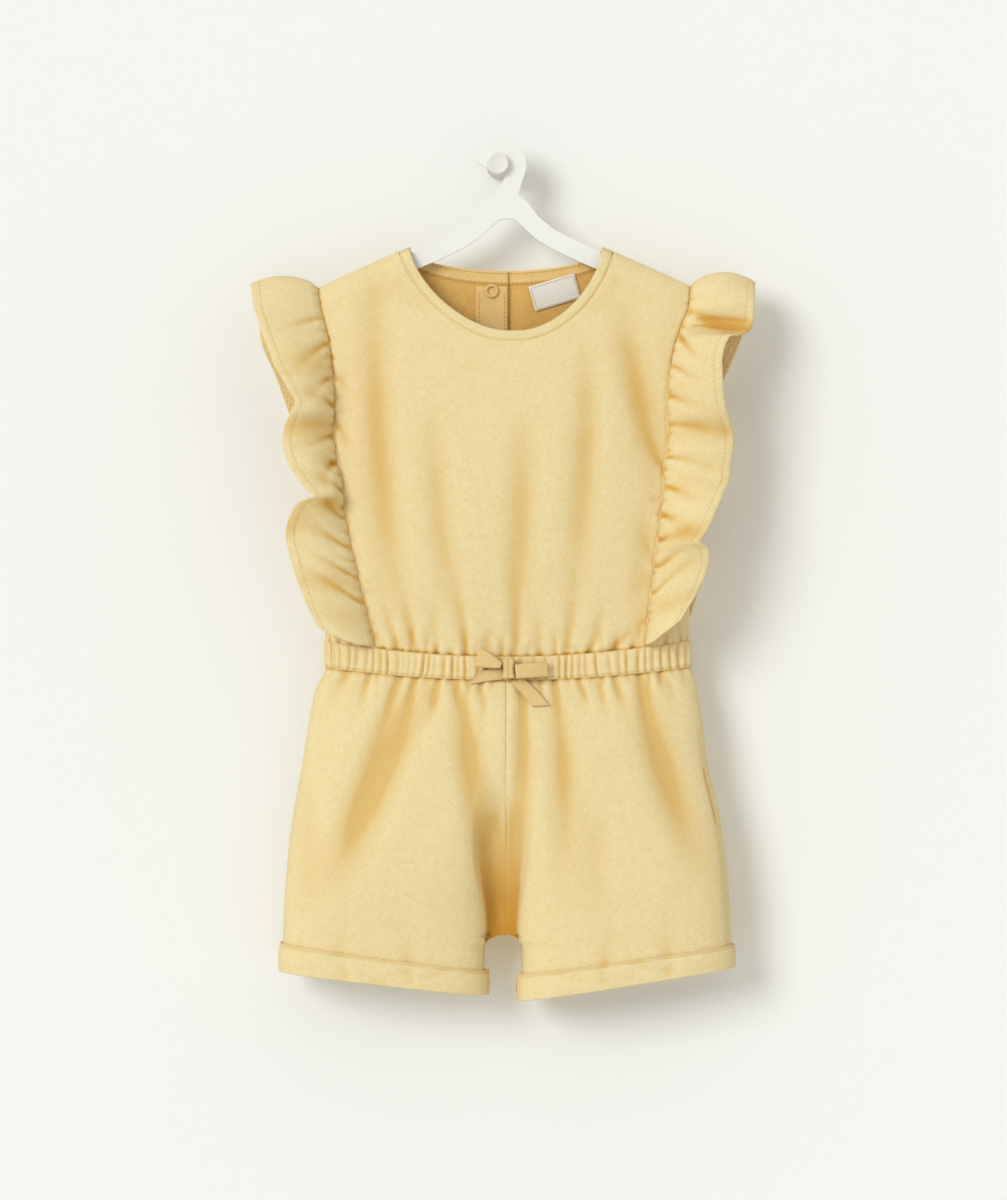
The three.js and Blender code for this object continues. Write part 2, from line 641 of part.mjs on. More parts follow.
// The seam that carries a ruffle, from the front waist over the shoulder to the back waist
function ruffleRoot(side) {
  const top = shoulderLine(seamX(side, SEAM_TOP_Z));
  const foot = bandTop(seamX(side, BAND_TOP_SIDE)) + 1;
  const root = [];
  for (let i = -ROOT_STEPS; i <= ROOT_STEPS; i += 1) {
    const face = i < 0 ? 'front' : 'back';
    const drop = (Math.abs(i) / ROOT_STEPS) ** ROOT_SPACING;
    const z = lerp(top, foot, drop);
    const { point, normal } = onTorso(face, seamX(side, z), z);
    point.addScaledVector(normal, RUFFLE_LIFT);
    root.push({ point, face, z });
  }
  let length = 0;
  root.forEach((entry, i) => {
    if (i > 0) length += entry.point.distanceTo(root[i - 1].point);
    entry.along = length;
  });
  return root;
}

// Place on the root at a share of its length, with the direction along it
function rootAt(root, share) {
  const target = share * root[root.length - 1].along;
  let i = 0;
  while (i < root.length - 2 && root[i + 1].along < target) i += 1;
  const t = (target - root[i].along) / (root[i + 1].along - root[i].along);
  const before = root[Math.max(i - 6, 0)].point;
  const after = root[Math.min(i + 7, root.length - 1)].point;
  return {
    point: root[i].point.clone().lerp(root[i + 1].point, t),
    z: lerp(root[i].z, root[i + 1].z, t),
    face: root[i].face,
    tangent: after.clone().sub(before).normalize(),
  };
}

// The ruffle's smooth surface: share runs along the seam, w from the seam to the free edge
function ruffleSurface(side, root, share, w) {
  const { point, z, face, tangent } = rootAt(root, share);
  const table = RUFFLE_EDGE[`${side < 0 ? 'left' : 'right'}_${face}`];
  const reach = read(table, z, 'reach');
  const rise = read(table, z, 'rise');
  const lift = read(table, z, 'lift');
  const outward = new THREE.Vector3(side, 0, 0);
  const facing = tangent.clone().cross(outward).multiplyScalar(-side).normalize();
  const chord = Math.hypot(reach, rise);
  // The sag of a shallow arc, from its length and its chord
  const slack = Math.sqrt(0.375 * chord * Math.max(RUFFLE_WIDTH - chord, 0));
  const bow = Math.min(slack, RUFFLE_BOW_MOST) * 4 * w * (1 - w);
  const fade = face === 'front' ? 1 : RUFFLE_BACK_BOW;
  return point
    .addScaledVector(outward, reach * w - fade * bow * rise / chord)
    .addScaledVector(facing, rise * w ** RUFFLE_RISE_POWER + fade * bow * reach / chord)
    .add(new THREE.Vector3(0, 0, lift * w * w));
}

// Gathered ruffle strip
function ruffle(side) {
  const root = ruffleRoot(side);
  const count = RUFFLE_COLUMNS;
  const rows = [
    { v: 0, count, gather: RUFFLE_GATHER },
    { v: 0.16, count, gather: 0.8 * RUFFLE_GATHER },
    { v: 0.42, count, gather: 0.4 * RUFFLE_GATHER },
    { v: 0.72, count: count / 2 },
    { v: 1, count: count / 2 },
  ];
  const place = (u, v, j, row) => {
    const surface = (a, b) => ruffleSurface(side, root, clamp(a, 0, 1), b);
    const along = surface(u + LEG_STEP, v).sub(surface(u - LEG_STEP, v));
    const across = surface(u, v + ANGLE_STEP).sub(surface(u, Math.max(v - ANGLE_STEP, 0)));
    const normal = along.cross(across).multiplyScalar(-side).normalize();
    const height = row.gather ? gather(j, row.gather) : 0;
    return { point: surface(u, v).addScaledVector(normal, height), normal };
  };
  add(side < 0 ? 'ruffle_left' : 'ruffle_right', 'jersey', wall(rows, place));
}

// Binding of a neck edge, a thicker strip that goes on from the panel's cut edge.
// columnAt(u) gives the panel's column, so that the facets match.
function neckBinding(name, face, count, columnAt, raiseOf) {
  const { width, crown, wall: thick } = NECKS[face];
  const rows = [0, 0.5, 1].map((v) => ({ v, count }));
  const place = (u, v) => {
    const columnX = columnAt(u);
    const { top } = columnEnds(face, columnX);
    const cut = columnX(top) / (NECK_HALF + cutGrow(face));
    const lowX = cut * (NECK_HALF + width);
    const highX = cut * NECK_HALF;
    const x = lerp(lowX, highX, v);
    const z = lerp(neckEdge(face, lowX, width), neckEdge(face, highX, 0), v);
    return onTorso(face, x, z, crown * 4 * v * (1 - v) + raiseOf(x));
  };
  add(name, 'binding', wall(rows, place, thick));
}

function neckBindings() {
  const { columns } = NECKS.front;
  const frontShare = 2 * columns / FRONT_COLUMNS;
  const backShare = NECKS.back.columns / BACK_COLUMNS;
  const frontAt = (u) => frontColumn(0.5 + (u - 0.5) * frontShare);
  neckBinding('neck_binding_front', 'front', 2 * columns, frontAt, () => 0);
  const leftAt = (u) => backColumn(-1, u * backShare);
  const rightAt = (u) => backColumn(1, u * backShare);
  neckBinding('neck_binding_back_left', 'back', NECKS.back.columns, leftAt, () => 0);
  const lapped = (x) => lapRaise(x) + BINDING_RAISE;
  neckBinding('neck_binding_back_right', 'back', NECKS.back.columns, rightAt, lapped);
}

// Strip under the left back half that holds the studs, and the stud rings and caps
function placket() {
  const rows = [0, 0.2, 0.4, 0.6, 0.8, 1].map((v) => ({ v, count: 3 }));
  const foot = STUDS[STUDS.length - 1].z - PLACKET.below;
  const top = SHOULDER_Z - NECKS.back.drop - NECKS.back.width - 1;
  const place = (u, v) => {
    const z = lerp(foot, top, v);
    const x = lerp(LAP_EDGE_X - PLACKET.outer, LAP_EDGE_X - PLACKET.inner, u);
    return onTorso('back', x, z, -WALL - SEAM_GAP);
  };
  add('back_placket', 'jersey', wall(rows, place, PLACKET.wall));
}

function stud(number, z) {
  const half = STUD_THICK / 2;
  const ringProfile = [
    new THREE.Vector2(STUD_HOLE, -half),
    new THREE.Vector2(STUD_RADIUS, -half),
    new THREE.Vector2(STUD_RADIUS, half),
    new THREE.Vector2(STUD_HOLE, half),
    new THREE.Vector2(STUD_HOLE, -half),
  ];
  const capProfile = [
    new THREE.Vector2(0, -half),
    new THREE.Vector2(STUD_RADIUS + STUD_CAP_RIM, -half),
    new THREE.Vector2(STUD_RADIUS + STUD_CAP_RIM, 0),
    new THREE.Vector2(STUD_RADIUS - STUD_CAP_SLOPE, half),
    new THREE.Vector2(0, half),
  ];
  const clothUnder = -WALL - SEAM_GAP - PLACKET.wall - SEAM_GAP - half - STUD_SEAT;
  const clothOver = LAP_RAISE + SEAM_GAP + half + STUD_SEAT;
  const places = [['ring', ringProfile, clothUnder], ['cap', capProfile, clothOver]];
  for (const [kind, profile, raise] of places) {
    const mesh = add(`snap_${number}_${kind}`, 'stud', new THREE.LatheGeometry(profile, 16));
    const { point, normal } = onTorso('back', STUD_X, z, raise);
    mesh.position.copy(point);
    mesh.quaternion.setFromUnitVectors(new THREE.Vector3(0, 1, 0), normal);
  }
}

// Bare woven label on the inside of the right back half
function neckLabel() {
  const tilt = THREE.MathUtils.degToRad(LABEL.tilt);
  const rows = [0, 0.5, 1].map((v) => ({ v, count: 4 }));
  const place = (u, v) => {
    const a = (u - 0.5) * LABEL.width;
    const b = (v - 0.5) * LABEL.height;
    const x = LABEL.x + a * Math.cos(tilt) - b * Math.sin(tilt);
    const z = LABEL.z + a * Math.sin(tilt) + b * Math.cos(tilt);
    return onTorso('back', x, z, -NECKS.back.wall - SEAM_GAP);
  };
  add('neck_label', 'label', wall(rows, place, LABEL.wall));
}

// Waist casing. A half runs from the right side round to the seam near the left side.
function waistband(face) {
  const rows = [0, 0.5, 1].map((v) => ({ v, count: BAND_COLUMNS }));
  const place = (u, v, j) => {
    let z = BAND_TOP_SIDE;
    let angle = 0;
    for (let k = 0; k < SETTLE_ROUNDS; k += 1) {
      const seam = Math.PI - ringAngle(-BAND_SEAM_X, z);
      const turn = face === 'front' ? seam : seam - 2 * Math.PI;
      angle = lerp(Math.sign(turn) * BAND_END_ANGLE, turn - Math.sign(turn) * BAND_END_ANGLE, u);
      const x = ring(angle, z).x - GARMENT_X;
      z = lerp(bandFoot(x) + SEAM_GAP / 2, bandTop(x) - SEAM_GAP / 2, v);
    }
    const spine = new THREE.Vector3(SPINE_SHARE * ring(angle, z).x, PLANE_Y, z);
    const normal = normalOf(ring, angle, z, ANGLE_STEP, NORMAL_STEP, [-7, 7], spine);
    const raise = BAND_RAISE + BAND_ROUND * 4 * v * (1 - v) + fadeAtEnds(u) * gather(j, BAND_GATHER);
    return { point: ring(angle, z).addScaledVector(normal, raise), normal };
  };
  add(`waistband_${face}`, 'jersey', wall(rows, place, BAND_WALL));
}

// A point on a leg's cloth, raised above it
function onLeg(side, t, z, raise = 0) {
  const surface = (a, b) => leg(side, a, b);
  const base = surface(t, z);
  const sideName = side < 0 ? 'left' : 'right';
  const middle = side * (CUFFS[sideName].inner + read(BODY, z, sideName)) / 2;
  const spine = new THREE.Vector3(GARMENT_X + middle, PLANE_Y, z);
  const limits = t > 0 ? [0.0001, 1] : [-1, -0.0001];
  const normal = normalOf(surface, t, z, LEG_STEP, NORMAL_STEP, limits, spine);
  const face = t > 0 ? 'front' : 'back';
  const sink = trough(face, base.x - GARMENT_X, z) * Math.min(1, 12 * Math.abs(t));
  return { point: base.addScaledVector(normal, raise - sink), normal, ...ownSide(face) };
}

const cuffLine = (cuff, x, end) => {
  const share = clamp((Math.abs(x) - cuff.inner) / (cuff.outer - cuff.inner), 0, 1);
  return lerp(cuff[`${end}Inner`], cuff[`${end}Outer`], share);
};

const LEG_ROWS = [
  { v: 0, count: 13 },
  { v: 0.05, count: 13 },
  { v: 0.1, count: 13 },
  { v: 0.15, count: 13 },
  { v: 0.18, count: 13 },
  { v: 0.24, count: 13 },
  { v: 0.33, count: 13 },
  { v: 0.43, count: 13 },
  { v: 0.53, count: 13 },
  { v: 0.63, count: 13 },
  { v: 0.73, count: 13 },
  { v: 0.82, count: 13 },
  { v: 0.9, count: 26, gather: 0.5 },
  { v: 0.96, count: 26, gather: 0.8 },
  { v: 1, count: 26, gather: 1 },
];

// One face of a leg, from the band to the foot inside the cuff
function legPanel(face, side) {
  const sideName = side < 0 ? 'left' : 'right';
  const cuff = CUFFS[sideName];
  const sign = face === 'front' ? 1 : -1;
  const place = (u, v, j, row) => {
    const t = sign * lerp(1, LEG_SIDE_INSET, u);
    let z = LEG_SPLIT_Z;
    for (let k = 0; k < SETTLE_ROUNDS; k += 1) {
      const x = leg(side, t, z).x - GARMENT_X;
      z = lerp(cuffLine(cuff, x, 'foot') + LEG_FOOT_INSIDE, bandFoot(x) - SEAM_GAP / 2, v);
    }
    const ends = Math.min(1, 10 * u * (1 - u));
    return onLeg(side, t, z, row.gather ? ends * gather(j, row.gather) : 0);
  };
  add(`leg_${face}_${sideName}`, 'jersey', wall(LEG_ROWS, place));
}

// Turned-up cuff, a closed ring round the leg's foot
function cuffRing(side) {
  const sideName = side < 0 ? 'left' : 'right';
  const cuff = CUFFS[sideName];
  const rows = [0, 0.5, 1].map((v) => ({ v, count: CUFF_COLUMNS }));
  const place = (u, v) => {
    const turn = 2 * u - 1;
    const t = turn === 0 ? 0.0001 : turn;
    let z = cuff.footOuter;
    for (let k = 0; k < SETTLE_ROUNDS; k += 1) {
      const x = leg(side, t, z).x - GARMENT_X;
      z = lerp(cuffLine(cuff, x, 'foot'), cuffLine(cuff, x, 'top'), v);
    }
    const { point, normal } = onLeg(side, t, z, SEAM_GAP + CUFF_WALL + CUFF_ROUND * 4 * v * (1 - v));
    return { point, normal };
  };
  add(`cuff_${sideName}`, 'jersey', wall(rows, place, CUFF_WALL, true));
}

// Strip of pocket cloth that shows in the slit of the right side seam
function pocketFacing() {
  const rows = [0, 0.33, 0.67, 1].map((v) => ({ v, count: 2 }));
  const place = (u, v) => {
    const t = lerp(POCKET.front, POCKET.back, u);
    return onLeg(1, t, lerp(POCKET.foot, POCKET.top, v), -WALL - 3 * SEAM_GAP);
  };
  add('pocket_facing_right', 'jersey', wall(rows, place, POCKET.wall));
}

// Ribbon strip along a path in front of the waist, x and z from the garment's middle
function ribbon(name, count, path) {
  const rows = [{ v: 0, count }, { v: 1, count }];
  const place = (u, v) => {
    const { middle, across, normal } = path(u);
    const point = middle.clone().addScaledVector(across, v - 0.5);
    return { point, normal };
  };
  add(name, 'ribbon', wall(rows, place, RIBBON_WALL));
}

function bowLoop({ name, side, reach, tilt, height }) {
  const angle = THREE.MathUtils.degToRad(tilt);
  const out = new THREE.Vector3(side * Math.cos(angle), 0, Math.sin(angle));
  const up = new THREE.Vector3(-side * Math.sin(angle), 0, Math.cos(angle));
  const corner = Math.abs(Math.sin(angle)) * RIBBON_WIDTH * 0.3;
  const startX = GARMENT_X + BOW.x + side * (BOW.knotHalf + SEAM_GAP + corner);
  const start = new THREE.Vector3(startX, BAND_FRONT_Y - 1.5, BOW.z);
  start.z += 2 * Math.sin(angle);
  ribbon(name, 12, (u) => {
    const turn = Math.PI * u;
    const pinch = lerp(LOOP_PINCH, 1, Math.sin(turn) ** 0.7);
    const middle = start.clone()
      .addScaledVector(out, reach * Math.sin(turn))
      .add(new THREE.Vector3(0, -height * (1 - Math.cos(turn)) / 2, 0));
    const tangent = out.clone().multiplyScalar(reach * Math.cos(turn));
    tangent.y = -height * Math.sin(turn) / 2;
    const normal = tangent.cross(up).multiplyScalar(side).normalize();
    return { middle, across: up.clone().multiplyScalar(RIBBON_WIDTH * pinch), normal: normal.negate() };
  });
}

function bowTail({ name, from, to, bend }) {
  ribbon(name, 6, (u) => {
    const x = lerp(from.x, to.x, u);
    const z = lerp(from.z, to.z, u) + bend * 4 * u * (1 - u);
    const depth = read(BODY, Math.min(z, BAND_FOOT_MIDDLE), 'front');
    const y = Math.min(PLANE_Y - depth - TAIL_CLEAR, BAND_FRONT_Y - TAIL_CLEAR / 2);
    const middle = new THREE.Vector3(GARMENT_X + x, y, z);
    const along = new THREE.Vector2(to.x - from.x, to.z - from.z).normalize();
    const width = RIBBON_WIDTH * lerp(TAIL_PINCH, 1, smoothstep(u, 0, 0.5));
    const across = new THREE.Vector3(-along.y, 0, along.x).multiplyScalar(width);
    return { middle, across, normal: new THREE.Vector3(0, -1, 0) };
  });
}

function bow() {
  for (const loop of LOOPS) bowLoop(loop);
  for (const tail of TAILS) bowTail(tail);
  const half = BOW.knotHalf;
  const corner = BOW.knotCorner;
  const deep = BOW.knotDepth / 2;
  const section = new THREE.Shape();
  section.moveTo(-half + corner, -deep);
  section.lineTo(half - corner, -deep);
  section.quadraticCurveTo(half, -deep, half, -deep + corner);
  section.lineTo(half, deep - corner);
  section.quadraticCurveTo(half, deep, half - corner, deep);
  section.lineTo(-half + corner, deep);
  section.quadraticCurveTo(-half, deep, -half, deep - corner);
  section.lineTo(-half, -deep + corner);
  section.quadraticCurveTo(-half, -deep, -half + corner, -deep);
  const settings = { depth: BOW.knotHeight, bevelEnabled: false, curveSegments: 3 };
  const geometry = new THREE.ExtrudeGeometry(section, settings);
  const knot = add('bow_knot', 'ribbon', geometry);
  knot.position.set(GARMENT_X + BOW.x, BAND_FRONT_Y - SEAM_GAP - deep, BOW.z - BOW.knotHeight / 2);
}

// Flat hanger plate with its hook over the peg
function hanger() {
  const shape = new THREE.Shape();
  const middle = HANGER_MIDDLE + GARMENT_X;
  const hookZ = PEG_RADIUS + SEAM_GAP - HOOK_INNER;
  const right = HANGER_ARM;
  const left = [...HANGER_ARM].reverse();
  const tip = right[right.length - 1];
  const tipRadius = (tip.top - tip.foot) / 2;
  const tipZ = tip.foot + tipRadius;
  shape.absarc(0, hookZ, HOOK_OUTER, HOOK_TIP_ANGLE, HOOK_NECK_ANGLE, true);
  for (const row of right) shape.lineTo(middle + row.x, row.top);
  shape.absarc(middle + tip.x, tipZ, tipRadius, Math.PI / 2, -Math.PI / 2, true);
  for (const row of left) shape.lineTo(middle + row.x, row.foot);
  for (const row of right) shape.lineTo(middle - row.x, row.foot);
  shape.absarc(middle - tip.x, tipZ, tipRadius, -Math.PI / 2, -1.5 * Math.PI, true);
  for (const row of left) shape.lineTo(middle - row.x, row.top);
  shape.lineTo(HOOK_INNER * HOOK_CORNER, hookZ - HOOK_INNER * HOOK_CORNER);
  shape.absarc(0, hookZ, HOOK_INNER, HOOK_NECK_ANGLE, Math.PI, false);
  shape.closePath();
  const settings = { depth: HANGER_THICK, bevelEnabled: false, curveSegments: 12 };
  const plate = new THREE.ExtrudeGeometry(shape, settings);
  plate.rotateX(Math.PI / 2);
  plate.translate(0, PLANE_Y + HANGER_THICK / 2, 0);
  add('hanger', 'hanger', plate);
}

// Round peg in the wall
function wallPeg() {
  const profile = [
    new THREE.Vector2(0, 0),
    new THREE.Vector2(PEG_RADIUS, 0),
    new THREE.Vector2(PEG_RADIUS, PEG_LENGTH - PEG_EDGE),
    new THREE.Vector2(PEG_RADIUS - PEG_EDGE, PEG_LENGTH),
    new THREE.Vector2(0, PEG_LENGTH),
  ];
  const peg = new THREE.LatheGeometry(profile, 28);
  peg.rotateX(Math.PI);
  add('wall_peg', 'peg', peg);
}

frontBodice();
for (const side of [-1, 1]) {
  backBodice(side);
  sidePanel(side);
  ruffle(side);
  legPanel('front', side);
  legPanel('back', side);
  cuffRing(side);
}
neckBindings();
placket();
STUDS.forEach(({ z }, i) => stud(i + 1, z));
neckLabel();
waistband('front');
waistband('back');
pocketFacing();
bow();
hanger();
wallPeg();

export default romper;
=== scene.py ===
import math

import bmesh
import bpy
import numpy as np
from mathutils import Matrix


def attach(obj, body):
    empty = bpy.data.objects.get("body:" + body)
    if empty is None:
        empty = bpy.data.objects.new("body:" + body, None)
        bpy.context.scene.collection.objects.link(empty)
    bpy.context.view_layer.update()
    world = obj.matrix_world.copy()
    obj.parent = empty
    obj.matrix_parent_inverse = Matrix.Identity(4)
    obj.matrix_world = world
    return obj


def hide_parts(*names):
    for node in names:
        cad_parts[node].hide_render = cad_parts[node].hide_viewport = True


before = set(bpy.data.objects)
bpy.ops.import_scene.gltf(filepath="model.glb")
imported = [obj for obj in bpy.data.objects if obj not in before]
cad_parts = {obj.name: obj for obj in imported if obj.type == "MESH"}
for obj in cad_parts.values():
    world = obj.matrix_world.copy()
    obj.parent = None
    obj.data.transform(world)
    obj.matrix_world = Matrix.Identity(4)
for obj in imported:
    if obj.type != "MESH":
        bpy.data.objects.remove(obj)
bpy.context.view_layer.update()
scene = bpy.context.scene
random = np.random.default_rng(23)
FACES = ("front", "back")
SIDES = (-1, 1)
OUTWARD = {"front": (0, -1, 0), "back": (0, 1, 0)}

# Sizes in millimetres, in the CAD's axes. Garment tables count x from the garment's middle.
MM = 0.001
WALL = 1.1
SEAM_GAP = 0.3
GARMENT_X = 5
PLANE_Y = -30
ROUND = 2.6
LEG_ROUND = 3

# Shoulders, neck, waist casing, armholes, legs and the lap at the back
SHOULDER_Z = -51.5
SHOULDER_X = 61
SHOULDER_SLOPE = 0.456
SHOULDER_ROLL = 14
NECK_HALF = 60
BAND_TOP_SIDE = -296.4
BAND_TOP_MIDDLE = -306.6
BAND_FOOT_SIDE = -314.3
BAND_FOOT_MIDDLE = -322
BAND_HALF = 114
BAND_WALL = 2.2
BAND_SEAM_X = 108
BAND_STITCH_X = -82
ARMHOLE_FOOT = -206
ARMHOLE_SHARE = 0.82
ARMHOLE_POWER = 2.2
SEAM_TOP_Z = -76.5
CROTCH_Z = -483.6
LEG_SPLIT_Z = -350
CUFF_WALL = 1.6
LAP_EDGE_X = 1.5
LAP_BACK_X = -17.5
LAP_RAISE = 1.8

# Ruffles and ribbon
RUFFLE_WIDTH = 43
RUFFLE_HEM = 5
RUFFLE_LIFT = 2.4
RUFFLE_BOW_MOST = 7
RUFFLE_BACK_BOW = 0.5
RUFFLE_RISE_POWER = 1.2
RUFFLE_FLATTEN = 0.8
RIBBON_WALL = 0.8

# Normals, seams and folds
SPINE_SHARE = 0.6
BODY_REACH = 130
UNDER = 1.2
TUCK = 0.45
TUCK_REACH = 1.6
FOLD_GAIN = 1.2
SHADE_GAIN = 0.13

# The hollow between the legs and the arch at its foot
VALLEY_TOP = -385
VALLEY_SOFT = -400
VALLEY = {"left": 12, "right": 7}
VALLEY_FLOOR = 2.4
VALLEY_REACH = 75
ARCH_TOP = CROTCH_Z + 3
ARCH_HEIGHT = 9
LEG_LAP = 0.4

# Overlaps and lengths of cloth
OVERLAP = 1.5
BINDING_STITCH = 1.2
LAP_HEM_X = {-1: LAP_EDGE_X - 17, 1: LAP_BACK_X + 14}
ARMHOLE_HEM = 4
BAND_HEIGHT = 16
CUFF_HEIGHT = 17
LEG_GIRTH = 150
PANEL_RADIUS = 30
FOLD_STEPS = 16


def table(names, rows):
    """Named columns of numbers."""
    return dict(zip(names.split(), np.array(rows, float).T))


# Half widths and half depths of the body
BODY = table("z left right front back", [
    (-45, 128, 126, 9, 9), (-76, 127, 125, 10, 10), (-110, 121, 119, 17, 13), (-150, 117, 115, 22, 16),
    (-200, 116, 115, 25, 17), (-250, 114, 114, 24, 17), (-296, 112.6, 114.6, 18, 15),
    (-315, 112.8, 115.4, 17.5, 15), (-328, 119, 119.4, 20, 16.5), (-350, 123.2, 122.9, 26, 19),
    (-372, 126.8, 125.2, 29, 21), (-410, 133.4, 133.7, 32, 23), (-447, 137.3, 138.4, 32, 23),
    (-485, 139.2, 140.6, 27, 21), (-520, 140.2, 141.6, 25, 20),
])

# Distance from the middle to the seam that carries the ruffle
SEAM = table("z left right", [
    (-76.5, 117, 114.8), (-90, 115, 113.2), (-102, 111.8, 108.5), (-115, 108.9, 104.3),
    (-132, 107, 101.3), (-150, 106.8, 99.9), (-175, 106, 100.2), (-190, 103.2, 98.1),
    (-205, 100.9, 97.4), (-228, 97.7, 94.7), (-260, 90.2, 90.8), (-300, 81.4, 86),
])

# Free edge of each ruffle half: sideways reach, rise away from the body, lift upward
EDGE_NAMES = "z reach rise lift"
RUFFLE_EDGE = {
    "left_front": table(EDGE_NAMES, [
        (-76.5, 41.3, 0, 0), (-87, 41.4, 9, 0), (-99, 41, 13, 0), (-115, 38.9, 15, 0),
        (-130, 34.2, 19, 0), (-141, 27.6, 24, -1), (-150, 23, 24, 0), (-160, 27.1, 24, 1),
        (-170, 30.2, 21, 0), (-180, 31.4, 20, 0), (-189, 29.5, 22, -2), (-198, 23.1, 23, -4),
        (-207, 18.1, 25, -2), (-215, 27.8, 24, 2), (-224, 35.3, 18, 1), (-232, 38.8, 13, 0),
        (-245, 39.5, 11, 2), (-262, 39.3, 12, 4), (-285, 37.5, 11, 9), (-301, 35, 10, 12),
    ]),
    "right_front": table(EDGE_NAMES, [
        (-76.5, 39.8, 0, 0), (-90, 40.4, 9, 0), (-101, 42.5, 8, -4), (-107, 38, 14, -3),
        (-113, 33, 21, 1), (-123, 30.4, 23, 0), (-134, 31.7, 21, 0), (-147, 33.8, 18, 0),
        (-157, 36.3, 15, 0), (-168, 39.8, 10, 0), (-179, 40.3, 9, 0), (-198, 40.3, 9, 0),
        (-207, 36.1, 16, 0), (-218, 32.6, 20, -1), (-228, 28.2, 22, -2), (-235, 24.5, 24, 0),
        (-243, 31.7, 20, 3), (-253, 33.2, 16, 4), (-266, 31, 16, 7), (-283, 27, 17, 12),
        (-301, 21, 18, 16),
    ]),
    "left_back": table(EDGE_NAMES, [
        (-76.5, 41.3, 0, 0), (-95, 41, 7, 0), (-112, 43, 5, 0), (-132, 37, 9, 0), (-152, 30, 12, 0),
        (-168, 26, 13, 0), (-186, 28, 10, 0), (-205, 19, 12, 0), (-222, 29, 9, 0), (-240, 36, 5, 2),
        (-262, 33, 9, 4), (-282, 35, 6, 9), (-301, 31, 7, 12),
    ]),
    "right_back": table(EDGE_NAMES, [
        (-76.5, 39.8, 0, 0), (-92, 40, 7, 0), (-110, 41, 6, 0), (-126, 38, 9, 0), (-144, 33, 12, 0),
        (-164, 35, 7, 0), (-184, 38, 5, 0), (-206, 33, 9, 0), (-230, 23, 12, 0), (-250, 30, 8, 3),
        (-272, 31, 5, 6), (-301, 28, 8, 14),
    ]),
}

# Long soft folds: start, bend and end as x and z, then width and depth
FOLDS = {
    "front": [
        (-82, -50, -86, -180, -64, -300, 19, 1.9), (-47, -140, -45, -226, -29, -302, 15, 1.2),
        (11, -150, 9, -236, 6, -306, 17, 1.5), (51, -96, 53, -190, 37, -296, 16, 1.5),
        (70, -84, 83, -150, 99, -214, 17, 2.1), (-101, -112, -106, -150, -99, -196, 10, 0.9),
        (84, -206, 89, -250, 79, -292, 12, 0.9), (-48, -314, -74, -364, -114, -462, 21, 3),
        (-36, -322, -15, -382, -10, -466, 17, 2.4), (8, -318, 15, -374, 6, -446, 13, 1.7),
        (29, -318, 39, -372, 34, -474, 16, 1.5), (82, -312, 92, -368, 124, -450, 19, 2.5),
        (51, -386, 57, -424, 52, -476, 17, 0.8), (-119, -376, -126, -420, -121, -476, 14, 0.9),
    ],
    "back": [
        (-74, -96, -78, -190, -58, -296, 17, 1.7), (54, -120, 66, -206, 60, -296, 15, 1.4),
        (80, -110, 92, -170, 88, -232, 13, 1.4), (-34, -170, -30, -240, -36, -300, 14, 1),
        (-60, -314, -66, -390, -98, -462, 20, 2.6), (22, -316, 28, -372, 14, -448, 15, 1.9),
        (58, -314, 68, -384, 94, -456, 19, 2.4), (-22, -318, -26, -370, -12, -440, 14, 1.7),
    ],
}

